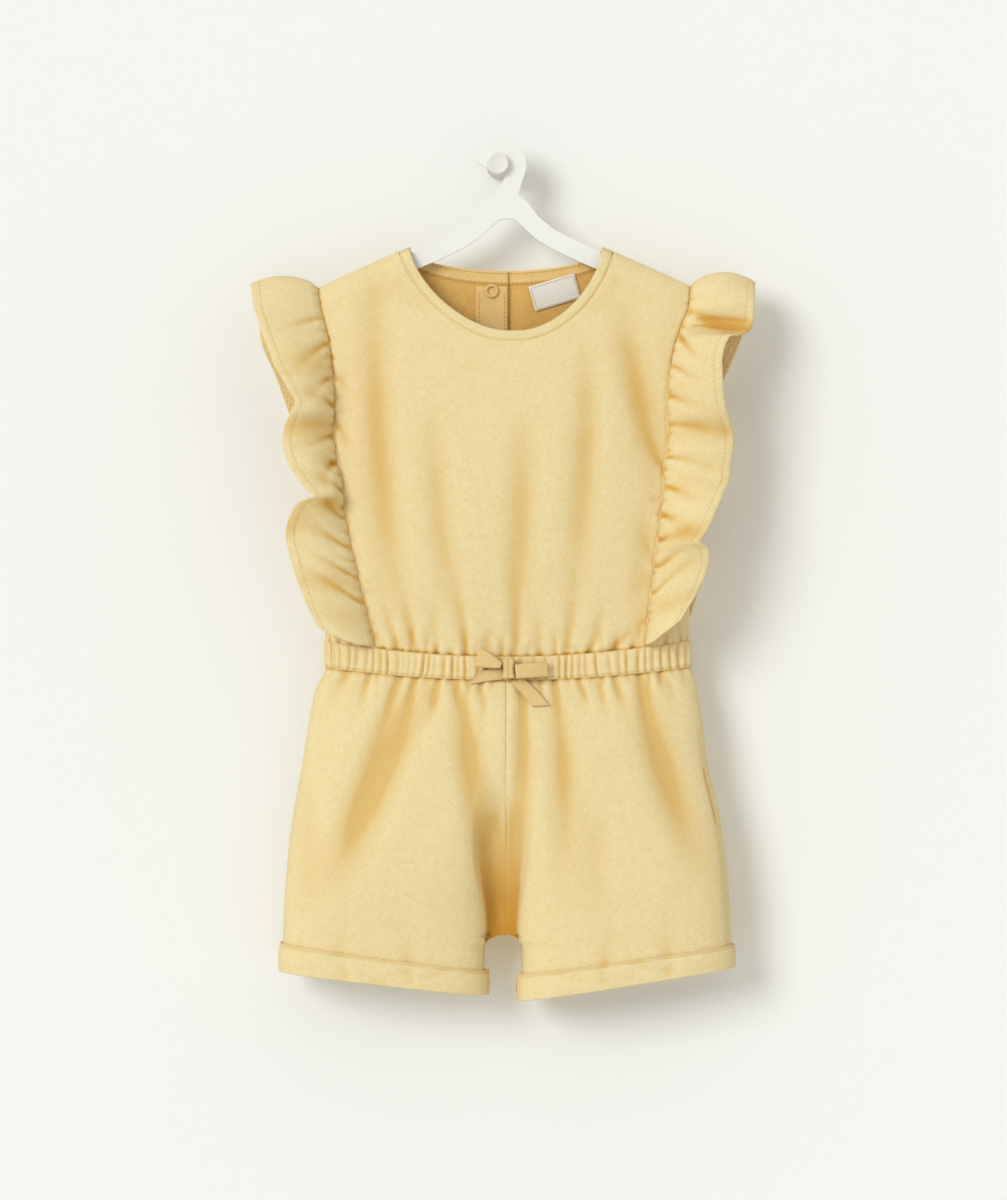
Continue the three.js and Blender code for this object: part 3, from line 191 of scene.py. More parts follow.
# Gathers that are deep at the seam where they start
CREASES = {
    "front": [
        (-54, -309, -62, -284, -70, -244, 8, 1.4), (-43, -309, -45, -290, -48, -256, 7, 1),
        (-24, -310, -27, -284, -35, -236, 8, 1.4), (-10, -310, -11, -298, -12, -276, 6, 0.9),
        (6, -310, 6, -280, 5, -232, 8, 1.1), (20, -310, 20, -296, 19, -264, 7, 1),
        (36, -310, 40, -286, 45, -250, 8, 1.3), (51, -309, 57, -290, 63, -262, 7, 1.1),
        (62, -308, 76, -292, 93, -276, 8, 1.6), (79, -304, 85, -290, 94, -258, 7, 1),
        (-66, -306, -74, -286, -81, -256, 7, 1), (-77, -304, -84, -288, -89, -268, 6, 0.9),
        (-110, -158, -98, -172, -90, -196, 7, 0.9), (-109, -130, -100, -140, -92, -148, 7, 0.7),
        (104, -200, 92, -180, 83, -156, 8, 1.1), (101, -226, 92, -212, 85, -192, 7, 0.8),
        (97, -254, 88, -240, 83, -222, 7, 0.7), (-84, -314, -88, -330, -97, -358, 8, 1.7),
        (-98, -312, -104, -326, -116, -346, 8, 1.6), (-66, -316, -72, -340, -94, -386, 9, 1.9),
        (-56, -317, -60, -332, -67, -354, 7, 1.3), (-42, -318, -44, -336, -53, -364, 8, 1.9),
        (-33, -318, -28, -336, -15, -378, 9, 1.9), (-16, -320, -14, -340, -13, -372, 7, 1.4),
        (-24, -320, -22, -334, -20, -356, 6, 1), (10, -320, 12, -340, 10, -380, 8, 1.4),
        (20, -320, 22, -334, 24, -358, 6, 1), (30, -319, 31, -338, 35, -376, 8, 1.3),
        (44, -318, 46, -332, 51, -354, 7, 0.9), (56, -317, 60, -334, 67, -360, 7, 1),
        (68, -316, 71, -332, 77, -358, 7, 1.1), (82, -314, 86, -338, 97, -378, 9, 1.7),
        (96, -312, 102, -330, 114, -354, 8, 1.2), (-60, -506, -64, -490, -62, -462, 13, 0.6),
        (60, -506, 64, -488, 62, -460, 13, 0.6), (-100, -502, -104, -486, -108, -458, 13, 0.6),
        (100, -502, 98, -484, 101, -454, 13, 0.6),
    ],
    "back": [
        (-70, -308, -76, -286, -82, -250, 8, 1.3), (-48, -309, -52, -288, -50, -254, 7, 1.1),
        (-30, -310, -33, -280, -30, -238, 8, 1.3), (-12, -310, -12, -296, -14, -272, 6, 0.9),
        (10, -310, 11, -286, 8, -250, 7, 1), (24, -310, 25, -290, 22, -254, 8, 1.2),
        (40, -310, 42, -284, 46, -244, 8, 1.3), (58, -308, 62, -290, 70, -262, 7, 1.1),
        (76, -306, 80, -288, 86, -262, 7, 1.1), (108, -176, 96, -184, 86, -204, 8, 0.9),
        (-112, -168, -98, -180, -90, -200, 8, 0.9), (-94, -314, -102, -336, -116, -364, 8, 1.7),
        (-74, -316, -80, -342, -92, -376, 8, 1.7), (-50, -318, -50, -340, -56, -372, 8, 1.6),
        (-34, -318, -33, -336, -30, -366, 7, 1.4), (-14, -320, -14, -340, -12, -370, 7, 1.4),
        (12, -320, 13, -340, 12, -372, 7, 1.4), (32, -319, 33, -340, 36, -376, 8, 1.5),
        (46, -318, 48, -336, 54, -362, 7, 1.2), (64, -317, 70, -340, 82, -374, 8, 1.7),
        (86, -314, 94, -334, 108, -360, 8, 1.6), (-62, -506, -64, -490, -60, -460, 13, 0.6),
        (66, -506, 64, -488, 66, -460, 13, 0.6),
    ],
}

NECKS = {
    "front": dict(drop=52.9, power=1.6, shift=4, easing=0.14, width=6.9, wall=1.6, crown=0.5, share=0.6),
    "back": dict(drop=14.5, power=2, shift=0, easing=0, width=8.7, wall=1.6, crown=0.2, share=6 / 11),
}
CUFFS = {
    "left": dict(inner=13.7, outer=139.5, top=(-502.4, -485), foot=(-518, -503.4)),
    "right": dict(inner=9.8, outer=141, top=(-504.4, -486), foot=(-521.6, -500.6)),
}

# Hanger plate: heights of an arm's top and foot by distance from its middle
HANGER_ARM = table("x top foot", [
    (6, -19.4, -34.2),
    (13, -25.4, -41),
    (19, -33.6, -46.4),
    (29, -41.8, -52.4),
    (42, -48.2, -58.6),
    (57, -55.6, -65),
    (60, -57.8, -66),
    (66, -59.6, -67.6),
    (75, -61.4, -70),
    (104, -74.6, -83.4),
])
HANGER_REACH = 104
HANGER_CROOK_Z = -33.1
HANGER_MIDDLE = 5.5
HANGER_THICK = 3
HANGER_EDGE = 0.9
HOOK_INNER = 8.2
HOOK_OUTER = 16.7
HOOK_TIP_ANGLE = 0.9 * math.pi
HOOK_NECK_ANGLE = -0.04 * math.pi
HOOK_CORNER = 0.72
PEG_RADIUS = 6.8
PEG_LENGTH = 37

STUD_HEIGHTS = [-78.4, -113, -148]
STUD_X = -9
STUD_RADIUS = 4.35
STUD_HOLE = 2.6
STUD_THICK = 0.9
MERGE_REACH = 0.000003
PLACKET = dict(inner=0.5, outer=20.5, below=24, wall=1)
LABEL = dict(x=30.6, z=-79.4, width=30, height=16, tilt=16.4, wall=0.6)
POCKET = dict(front=0.06, back=0.015, foot=-412, top=-378, wall=1)
BOW = dict(x=1.5, z=-314.5, half=3.6, height=12, depth=7)
BAND_FRONT_Y = PLANE_Y - 19.9


def lerp(a, b, t):
    return a + (b - a) * t


def ease(t):
    t = np.clip(t, 0, 1)
    return t * t * (3 - 2 * t)


def side_name(side):
    return "left" if side < 0 else "right"


def curve(rows, z, column):
    """A table's column at height z, on a smooth curve through its rows."""
    z = np.asarray(z, float)
    heights = rows["z"]
    values = rows[column]
    slopes = np.empty_like(values)
    slopes[1:-1] = (values[2:] - values[:-2]) / (heights[2:] - heights[:-2])
    slopes[0] = (values[1] - values[0]) / (heights[1] - heights[0])
    slopes[-1] = (values[-1] - values[-2]) / (heights[-1] - heights[-2])
    i = np.clip(np.searchsorted(-heights, -z, side="right") - 1, 0, len(heights) - 2)
    span = heights[i + 1] - heights[i]
    t = np.clip((z - heights[i]) / span, 0, 1)
    rest = 1 - t
    start = values[i] * (1 + 2 * t) * rest**2
    end = values[i + 1] * t**2 * (3 - 2 * t)
    return start + end + span * t * rest * (slopes[i] * rest - slopes[i + 1] * t)


def by_side(rows, x, z):
    return np.where(x < 0, curve(rows, z, "left"), curve(rows, z, "right"))


def dent(off, ridge, ridge_at=1):
    """A soft crease across its width, with a ridge beside it."""
    return np.exp(-((2 * off) ** 2)) - ridge * np.exp(-((2 * (off - ridge_at)) ** 2))


def bent(start, bend, end, t):
    return (1 - t) ** 2 * start + 2 * t * (1 - t) * bend + t**2 * end


def fold_depth(folds, x, z, gathered=False):
    """How far the listed folds sink the cloth at each place, with soft ridges beside them."""
    total = np.zeros(np.broadcast(x, z).shape)
    x = np.broadcast_to(x, total.shape)
    z = np.broadcast_to(z, total.shape)
    t = np.linspace(0, 1, FOLD_STEPS + 1)
    ridge = 0.3 if gathered else 0.15
    for sx, sz, bx, bz, ex, ez, width, depth in folds:
        px = bent(sx, bx, ex, t)
        pz = bent(sz, bz, ez, t)
        reach = 2.6 * width
        inside = (x > px.min() - reach) & (x < px.max() + reach)
        inside &= (z > pz.min() - reach) & (z < pz.max() + reach)
        if not inside.any():
            continue
        qx = x[inside]
        qz = z[inside]
        near = np.full(qx.shape, np.inf)
        along = np.zeros(qx.shape)
        for k in range(FOLD_STEPS):
            dx = px[k + 1] - px[k]
            dz = pz[k + 1] - pz[k]
            share = np.clip(((qx - px[k]) * dx + (qz - pz[k]) * dz) / (dx * dx + dz * dz), 0, 1)
            distance = np.hypot(qx - px[k] - share * dx, qz - pz[k] - share * dz)
            along = np.where(distance < near, (k + share) / FOLD_STEPS, along)
            near = np.minimum(near, distance)
        ends = (1 - along) ** 1.3 if gathered else np.sin(math.pi * along) ** 1.1
        wide = width * (0.65 + 0.7 * along if gathered else 1.15)
        total[inside] += depth * ends * dent(near / wide, ridge, 0.95)
    return total


def all_folds(face, x, z):
    return FOLD_GAIN * (fold_depth(FOLDS[face], x, z) + fold_depth(CREASES[face], x, z, True))


def fold_shade(face, x, z):
    """Share of painted shade colour in the folds."""
    return np.clip(SHADE_GAIN * all_folds(face, x, z), 0, 0.32)


def ripple(x, z, scale, seed):
    """Soft uneven waves of about the given wavelength, from -1 to 1."""
    maker = np.random.default_rng(seed)
    total = np.zeros(np.broadcast(x, z).shape)
    for _ in range(7):
        angle = maker.uniform(0, math.pi)
        length = scale * maker.uniform(0.7, 1.6)
        phase = maker.uniform(0, 2 * math.pi)
        total += np.sin(2 * math.pi * (x * math.cos(angle) + z * math.sin(angle)) / length + phase)
    return total / 4


def pucker_table(maker, start, end, *ranges):
    """Short creases from a seam: place, then sizes from the ranges of spacing, length, width, depth, lean."""
    rows = []
    at = start
    while at < end:
        at += maker.uniform(*ranges[0])
        rows.append((at, *(maker.uniform(*limits) for limits in ranges[1:])))
    return rows


def puckers(rows, along, away):
    """How far such creases sink the cloth, by distance along the seam and away from it."""
    total = np.zeros(np.broadcast(along, away).shape)
    for at, length, width, depth, lean in rows:
        wide = width * (1 + 0.8 * away / length)
        off = np.abs(along - at - lean * away) / wide
        total += depth * np.clip(1 - away / length, 0, 1) ** 1.3 * dent(off, 0.3)
    return total


def drawn(keys, *sizes):
    return {key: pucker_table(random, *sizes) for key in keys}


# Gathers at the waist, ruffle seams, underarm panels, casing and legs
waist_puckers = {
    "front": pucker_table(random, -102, 96, (4.5, 11), (6, 22), (2.6, 4.6), (0.6, 1.5), (-0.2, 0.2)),
    "back": pucker_table(random, -100, 96, (5, 11), (5, 18), (2.6, 4.6), (0.4, 1.1), (-0.2, 0.2)),
}
seam_puckers = drawn(SIDES, 76, 300, (6, 14), (3, 9), (2.2, 3.8), (0.2, 0.55), (-0.5, 0.5))
side_puckers = drawn(SIDES, -40, 36, (4, 8), (6, 18), (2, 3.6), (0.5, 1.2), (-0.2, 0.2))
band_pleats = drawn(FACES, 0, 250, (3, 8), (60, 90), (1.5, 3), (0.4, 1.5), (-0.06, 0.06))
leg_puckers = drawn(
    [(face, side) for face in FACES for side in SIDES],
    2, 118, (4, 9.5), (6, 24), (2.6, 4.8), (0.5, 1.4), (0.0, 0.4),
)


def shoulder_line(x):
    return SHOULDER_Z - (np.abs(x) - SHOULDER_X) * SHOULDER_SLOPE


def band_line(x, middle, side):
    return lerp(middle, side, np.minimum(np.abs(x) / BAND_HALF, 1) ** 2)


def band_top(x):
    return band_line(x, BAND_TOP_MIDDLE, BAND_TOP_SIDE)


def band_foot(x):
    return band_line(x, BAND_FOOT_MIDDLE, BAND_FOOT_SIDE)


def seam_x(side, z):
    return side * curve(SEAM, z, side_name(side))


def neck_edge(face, x, grow):
    neck = NECKS[face]
    half = NECK_HALF + grow
    share = np.minimum(np.abs(x - neck["shift"] * (1 - np.minimum(np.abs(x) / half, 1) ** 2)) / half, 1)
    easing = neck["easing"]
    share = (np.hypot(share, easing) - easing) / (math.hypot(1, easing) - easing)
    drop = (neck["drop"] + grow) * (1 - share ** neck["power"]) ** (1 / neck["power"])
    return np.minimum(SHOULDER_Z - drop, shoulder_line(x))


def shoulder_roll(x, z):
    t = np.clip((shoulder_line(x) - z) / SHOULDER_ROLL, 0, 1)
    return np.sqrt(1 - (1 - t) ** 2)


def torso(face, x, z):
    """One face of the bodice as a height over the hanger's plane."""
    share = np.minimum(np.abs(x) / by_side(BODY, x, z), 1)
    depth = curve(BODY, z, face) * (1 - share**ROUND) ** (1 / ROUND) * shoulder_roll(x, z)
    y = PLANE_Y + (-depth if face == "front" else depth)
    return np.stack(np.broadcast_arrays(GARMENT_X + x, y, z), -1).astype(float)


def unit(vectors):
    return vectors / np.maximum(np.linalg.norm(vectors, axis=-1, keepdims=True), 1e-9)


def outward(normals, away):
    turn = np.sign(np.sum(normals * away, -1, keepdims=True))
    return normals * np.where(turn == 0, 1, turn)


def torso_normal(face, x, z):
    right = torso(face, np.minimum(x + 0.25, BODY_REACH), z)
    left = torso(face, np.maximum(x - 0.25, -BODY_REACH), z)
    up = torso(face, x, z + 0.25) - torso(face, x, z - 0.25)
    spine = np.stack(np.broadcast_arrays(GARMENT_X + SPINE_SHARE * x, PLANE_Y, z - 3), -1)
    return outward(unit(np.cross(right - left, up)), torso(face, x, z) - spine)


def own_side(face, points):
    if face == "front":
        points[..., 1] = np.minimum(points[..., 1], PLANE_Y - SEAM_GAP / 2)
    else:
        points[..., 1] = np.maximum(points[..., 1], PLANE_Y + SEAM_GAP / 2)
    return points


def on_torso(face, x, z, rise=0.0):
    normal = torso_normal(face, x, z)
    rise = np.asarray(rise - all_folds(face, x, z))[..., None]
    return own_side(face, torso(face, x, z) + normal * rise), normal


def ring(angle, z):
    """The body as a ring: angle 0 is the right side, a quarter turn the front."""
    across = np.cos(angle)
    deep = np.sin(angle)
    half = by_side(BODY, across, z)
    depth = np.where(deep > 0, curve(BODY, z, "front"), curve(BODY, z, "back"))
    x = half * np.sign(across) * np.abs(across) ** (2 / ROUND)
    y = depth * np.sign(deep) * np.abs(deep) ** (2 / ROUND)
    return np.stack(np.broadcast_arrays(GARMENT_X + x, PLANE_Y - y, z), -1)


def ring_angle(x, z):
    return np.arccos(np.minimum(np.abs(x) / by_side(BODY, x, z), 1) ** (ROUND / 2))


def valley_steep(z):
    """The hollow between the legs is soft at its top, 0, and steep at its foot, 1."""
    return ease((VALLEY_SOFT - z) / VALLEY_REACH)


def leg(side, sign, u, z):
    """A leg's cloth: u is 0 at the inseam and 1 at the side seam, sign 1 in front and -1 behind."""
    name = side_name(side)
    outer = curve(BODY, z, name)
    arch = np.clip((ARCH_TOP - z) / ARCH_HEIGHT, 0, 1)
    split = np.sqrt(arch * (2 - arch))
    inner = lerp(-LEG_LAP, CUFFS[name]["inner"], split)
    middle = (inner + outer) / 2
    half = (outer - inner) / 2
    across = np.cos(math.pi * (1 - u))
    parted = middle + half * np.sign(across) * np.abs(across) ** (2 / LEG_ROUND)
    joined = inner + (outer - inner) * np.sin(u * math.pi / 2)
    share = ease((LEG_SPLIT_Z - z) / (LEG_SPLIT_Z - CROTCH_Z))
    x = lerp(joined, parted, share)
    body_lobe = (1 - np.clip(x / outer, 0, 1) ** ROUND) ** (1 / ROUND)
    edge = np.maximum(VALLEY[name] * ease((VALLEY_TOP - z) / 70), inner)
    lobe_middle = (edge + outer) / 2
    lobe_half = (outer - edge) / 2
    leg_lobe = (1 - np.minimum(np.abs(x - lobe_middle) / lobe_half, 1) ** LEG_ROUND) ** (1 / LEG_ROUND)
    leg_lobe = leg_lobe * ease((x - edge) / lerp(18, 1.2, valley_steep(z)))
    depth = curve(BODY, z, "front" if sign > 0 else "back") * lerp(body_lobe, leg_lobe, share)
    depth = np.maximum(depth, VALLEY_FLOOR * (1 - split**8) * (1 - ease((x - edge) / 12)))
    return np.stack(np.broadcast_arrays(GARMENT_X + side * x, PLANE_Y - sign * depth, z), -1)


def grid_normals(grid, away, closed=False):
    """Unit normals of a grid of points, turned to the side of away."""
    if closed:
        wide = np.concatenate([grid[:, -1:], grid, grid[:, :1]], 1)
        along = (wide[:, 2:] - wide[:, :-2]) / 2
    else:
        along = np.gradient(grid, axis=1)
    normals = unit(np.cross(along, np.gradient(grid, axis=0)))
    if np.sum(normals * away) < 0:
        normals = -normals
    return normals


def make_object(name, points, faces, materials, picks=None, smooth=True):
    mesh = bpy.data.meshes.new(name)
    mesh.from_pydata((np.asarray(points) * MM).tolist(), [], [tuple(f) for f in faces])
    for material in materials:
        mesh.materials.append(material)
    if picks is not None:
        mesh.polygons.foreach_set("material_index", np.asarray(picks, np.int32))
    mesh.polygons.foreach_set("use_smooth", np.full(len(mesh.polygons), smooth))
    mesh.update()
    piece = bpy.data.objects.new(name, mesh)
    scene.collection.objects.link(piece)
    return piece


def mend(piece, change=None):
    """Makes a change to a piece's mesh, then turns its faces outward."""
    work = bmesh.new()
    work.from_mesh(piece.data)
    if change:
        change(work)
    bmesh.ops.recalc_face_normals(work, faces=work.faces)
    work.to_mesh(piece.data)
    work.free()
    return piece


def grid_quads(rows, columns, closed=True):
    """Numbers of a grid's points and the corners of its quads, wrapped round where it is closed."""
    index = np.arange(rows * columns).reshape(rows, columns)
    if closed:
        index = np.concatenate([index, index[:, :1]], 1)
    low = index[:-1]
    high = index[1:]
    return index, np.stack([low[:, :-1], low[:, 1:], high[:, 1:], high[:, :-1]], -1).reshape(-1, 4)


def shell(name, grid, away, thick, materials, shade=0, closed=False, face=None, soften=0.35, most=1):
    """A closed cloth wall under a grid of outer points. shade is painted shade in its creases, from 0 to
    most.
    """
    rows, columns = grid.shape[:2]
    normals = grid_normals(grid, away, closed)
    rim = np.zeros((rows, columns, 1))
    rim[[0, -1]] = 1
    if not closed:
        rim[:, [0, -1]] = 1
    rounding = normals * rim * thick * soften
    outer = grid - rounding
    inner = grid - normals * thick + rounding
    if face:
        own_side(face, outer)
        own_side(face, inner)
    count = rows * columns
    index, quads = grid_quads(rows, columns, closed)
    edge = np.cross(grid[0, 1] - grid[0, 0], grid[1, 0] - grid[0, 0])
    if np.dot(edge, normals[0, 0]) < 0:
        quads = quads[:, ::-1]
    lines = [index[0], index[-1]] + ([] if closed else [index[:, 0], index[:, -1]])
    border = [np.stack([a[:-1], a[1:], a[1:] + count, a[:-1] + count], -1) for a in lines]
    border = np.concatenate(border)
    faces = np.concatenate([quads, quads[:, ::-1] + count, border])
    rim_pick = len(materials) - 1 if len(materials) > 2 else 0
    picks = np.repeat([0, 1, rim_pick], [len(quads), len(quads), len(border)])
    points = np.concatenate([outer.reshape(-1, 3), inner.reshape(-1, 3)])
    piece = mend(make_object(name, points, faces.tolist(), materials, picks))
    # Painted shade: the hollows plus the given shade, stored on the points; the inner face gets half of it
    depth = np.clip(hollows(grid, normals, closed) + shade, 0, most).reshape(-1)
    values = np.concatenate([depth, 0.5 * depth]).astype(np.float32)
    piece.data.attributes.new("painted_crease_shade", "FLOAT", "POINT").data.foreach_set("value", values)
    return piece


def blurred(grid, rounds, closed):
    """A grid smoothed over its neighbours, a number of times."""
    for _ in range(rounds):
        if closed:
            grid = (np.roll(grid, 1, 1) + 2 * grid + np.roll(grid, -1, 1)) / 4
        else:
            middle = (grid[:, :-2] + 2 * grid[:, 1:-1] + grid[:, 2:]) / 4
            grid = np.concatenate([grid[:, :1], middle, grid[:, -1:]], 1)
        middle = (grid[:-2] + 2 * grid[1:-1] + grid[2:]) / 4
        grid = np.concatenate([grid[:1], middle, grid[-1:]], 0)
    return grid


def hollows(grid, normals, closed):
    """Painted shade in the hollows: how deep each place lies in a fold, from a broad and a narrow look round
    it.
    """
    broad = np.sum((blurred(grid, 70, closed) - grid) * normals, -1)
    narrow = np.sum((blurred(grid, 6, closed) - grid) * normals, -1)
    return np.clip(0.14 * broad, 0, 0.3) + np.clip(0.6 * narrow, 0, 0.3)


def sample(grid, rows, columns):
    """Points of a grid at fractional row and column shares."""
    r = np.clip(np.asarray(rows, float), 0, 1) * (grid.shape[0] - 1)
    c = np.clip(np.asarray(columns, float), 0, 1) * (grid.shape[1] - 1)
    r, c = np.broadcast_arrays(r, c)
    r0 = np.minimum(r.astype(int), grid.shape[0] - 2)
    c0 = np.minimum(c.astype(int), grid.shape[1] - 2)
    fr = (r - r0)[..., None]
    fc = (c - c0)[..., None]
    low = lerp(grid[r0, c0], grid[r0, c0 + 1], fc)
    high = lerp(grid[r0 + 1, c0], grid[r0 + 1, c0 + 1], fc)
    return lerp(low, high, fr)


thread_points = []
thread_faces = []
thread_picks = []


def distances(line):
    """How far along a line each of its points lies."""
    return np.concatenate([[0], np.cumsum(np.linalg.norm(np.diff(line, axis=0), axis=1))])


def spread(at, along, values):
    """Rows of values at the given distances along a line."""
    return np.stack([np.interp(at, along, column) for column in values.T], -1)


def stitches(grid, normals, rows, columns, pitch=2.6, length=1.9, radius=0.24, lift=0.08, pick=0):
    """A row of small threads on a grid, along shares of its rows and columns."""
    line = sample(grid, rows, columns)
    along = distances(line)
    at = np.arange(pitch / 2, along[-1] - pitch / 2, pitch)
    spots = spread(at, along, line)
    facing = unit(spread(at, along, sample(normals, rows, columns)))
    forward = unit(spread(at + length / 2, along, line) - spots)
    sideways = np.cross(forward, facing)
    for k in range(len(at)):
        first = len(thread_points)
        middle = spots[k] + facing[k] * lift
        thread_points.append(middle - forward[k] * length / 2 - facing[k] * radius)
        for share in (-0.28, 0.28):
            for turn in range(4):
                angle = turn * math.pi / 2 + math.pi / 4
                offset = sideways[k] * math.cos(angle) + facing[k] * math.sin(angle)
                thread_points.append(middle + forward[k] * length * share + offset * radius)
        thread_points.append(middle + forward[k] * length / 2 - facing[k] * radius)
        last = first + 9
        for turn in range(4):
            a = first + 1 + turn
            b = first + 1 + (turn + 1) % 4
            thread_faces.extend([(first, b, a), (a, b, b + 4, a + 4), (last, a + 4, b + 4)])
            thread_picks.extend((pick, pick, pick))


def groove(distance, at, depth=0.16, width=1.3):
    """A stitched line presses the cloth in."""
    return -depth * np.exp(-(((distance - at) / width) ** 2) * 4)


# Materials
def feed(tree, socket, value):
    """Links a socket to another one, or sets its value."""
    if isinstance(value, bpy.types.NodeSocket):
        tree.links.new(value, socket)
    else:
        socket.default_value = value


def fill(tree, node, **inputs):
    """Feeds a node's inputs, each by its name with _ for a space."""
    for name, value in inputs.items():
        feed(tree, node.inputs[name.replace("_", " ")], value)
    return node


def add_node(tree, kind, settings=None, **inputs):
    made = tree.nodes.new(kind)
    for key, value in (settings or {}).items():
        setattr(made, key, value)
    return fill(tree, made, **inputs)


def mix_colour(tree, share, first, second, blend="MIX"):
    made = add_node(tree, "ShaderNodeMix", {"data_type": "RGBA", "blend_type": blend})
    for number, value in ((0, share), (6, first), (7, second)):
        feed(tree, made.inputs[number], value)
    return made.outputs[2]


def scaled(tree, vector, turn, scale):
    """Coordinates turned about the front-to-back axis, then stretched."""
    turned = add_node(tree, "ShaderNodeMapping", Vector=vector, Rotation=(0, math.radians(turn), 0))
    return add_node(tree, "ShaderNodeMapping", Vector=turned.outputs[0], Scale=scale).outputs[0]


def noise(tree, vector, size, detail=2, roughness=0.5):
    made = add_node(tree, "ShaderNodeTexNoise", Vector=vector, Scale=size, Detail=detail, Roughness=roughness)
    return made.outputs["Fac"]


def ramp(tree, value, low, high, start=0, end=1):
    made = add_node(tree, "ShaderNodeMapRange", Value=value, From_Min=low, From_Max=high)
    return fill(tree, made, To_Min=start, To_Max=end).outputs["Result"]


def bump(tree, height, strength, distance):
    made = add_node(tree, "ShaderNodeBump", Height=height, Strength=strength, Distance=distance)
    return made.outputs["Normal"]


def painted_shade_share(tree):
    """The share of painted shade colour, which each cloth piece carries on its points."""
    return add_node(tree, "ShaderNodeAttribute", {"attribute_name": "painted_crease_shade"}).outputs["Fac"]


def colour(values):
    """Linear colour from 8-bit red, green and blue."""
    shares = [value / 255 for value in values]
    return tuple(s / 12.92 if s <= 0.04045 else ((s + 0.055) / 1.055) ** 2.4 for s in shares) + (1,)


def new_material(name, roughness):
    material = bpy.data.materials.new(name)
    material.use_nodes = True
    tree = material.node_tree
    shader = fill(tree, tree.nodes["Principled BSDF"], Roughness=roughness)
    place = add_node(tree, "ShaderNodeTexCoord").outputs["Object"]
    return material, tree, shader, place


def brushed_jersey(name, light, dark, deep, sheen=0.12):
    """Fine short diagonal strokes over a softly mottled knit, with painted shade in its creases."""
    light, dark, deep, painted_deepest_shade = (colour(values) for values in (light, dark, deep, (198, 142, 52)))
    material, tree, shader, place = new_material(name, 0.93)
    patches = ramp(tree, noise(tree, place, 110, 1), 0.46, 0.54)
    stroke = (200, 700, 950)
    falling = noise(tree, scaled(tree, place, 50, stroke), 1, 2, 0.55)
    rising = noise(tree, scaled(tree, place, -42, stroke), 1, 2, 0.55)
    strokes = mix_colour(tree, patches, falling, rising)
    mottle = noise(tree, place, 160, 3, 0.6)
    fibres = noise(tree, place, 2600, 2, 0.6)
    base = mix_colour(tree, ramp(tree, mottle, 0.3, 0.7, 0, 0.35), light, dark)
    base = mix_colour(tree, ramp(tree, strokes, 0.42, 0.68, 0, 0.85), base, dark)
    # Painted shade: creases mix to the deep colour, then to the deepest
    painted_crease_shade = painted_shade_share(tree)
    base = mix_colour(tree, ramp(tree, painted_crease_shade, 0, 0.5), base, deep)
    base = mix_colour(tree, ramp(tree, painted_crease_shade, 0.5, 1), base, painted_deepest_shade)
    fill(tree, shader, Base_Color=base, Specular_IOR_Level=0.15)
    fill(tree, shader, Sheen_Weight=sheen, Sheen_Roughness=0.5, Sheen_Tint=(1, 0.96, 0.85, 1))
    rough = add_node(tree, "ShaderNodeBump", Height=strokes, Strength=0.3, Distance=0.0006)
    fill(tree, rough, Normal=bump(tree, fibres, 0.35, 0.0004))
    fill(tree, shader, Normal=rough.outputs["Normal"])
    return material


def terry(name, light, dark):
    """The looped reverse of the cloth."""
    light, dark = colour(light), colour(dark)
    material, tree, shader, place = new_material(name, 0.95)
    stretched = scaled(tree, place, 0, (1, 1, 0.75))
    loops = add_node(tree, "ShaderNodeTexVoronoi", Vector=stretched, Scale=900, Randomness=0.8)
    shape = ramp(tree, loops.outputs["Distance"], 0.1, 0.7, 1, 0)
    mottle = noise(tree, place, 300, 3, 0.6)
    base = mix_colour(tree, ramp(tree, shape, 0.2, 0.9), dark, light)
    base = mix_colour(tree, ramp(tree, mottle, 0.35, 0.7, 0, 0.45), base, dark)
    fill(tree, shader, Base_Color=base, Specular_IOR_Level=0.1, Normal=bump(tree, shape, 0.6, 0.0008))
    return material


def woven(name, light, dark, size, roughness=0.7):
    """Plain weave or rib of a given thread size in metres."""
    light, dark = colour(light), colour(dark)
    material, tree, shader, place = new_material(name, roughness)
    threads = scaled(tree, place, 0, (1 / size, 1 / size, 1 / size))
    across, upward = (
        add_node(tree, "ShaderNodeTexWave", {"bands_direction": axis}, Vector=threads, Scale=0.5)
        for axis in "XZ"
    )
    for wave in (across, upward):
        fill(tree, wave, Distortion=0.6)
    weave = mix_colour(tree, 0.5, across.outputs["Color"], upward.outputs["Color"])
    mottle = noise(tree, place, 500, 3, 0.6)
    base = mix_colour(tree, ramp(tree, mottle, 0.3, 0.7, 0, 0.3), light, dark)
    # Painted shade: darker where the points carry shade
    base = mix_colour(tree, painted_shade_share(tree), base, dark)
    base = mix_colour(tree, 0.12, base, weave, "MULTIPLY")
    fill(tree, shader, Base_Color=base, Sheen_Weight=0.2, Normal=bump(tree, weave, 0.4, 0.0004))
    return material


def painted(name, base, roughness, grain=0.06):
    """Smooth painted or moulded surface with a faint unevenness."""
    base = colour(base)
    material, tree, shader, place = new_material(name, roughness)
    speck = noise(tree, place, 220, 4, 0.6)
    darker = tuple(value * (1 - grain) for value in base[:3]) + (1,)
    uneven = ramp(tree, speck, 0.3, 0.7, roughness - 0.04, roughness + 0.06)
    fill(tree, shader, Base_Color=mix_colour(tree, speck, base, darker), Roughness=uneven)
    fill(tree, shader, Normal=bump(tree, noise(tree, place, 900), 0.05, 0.0002))
    return material
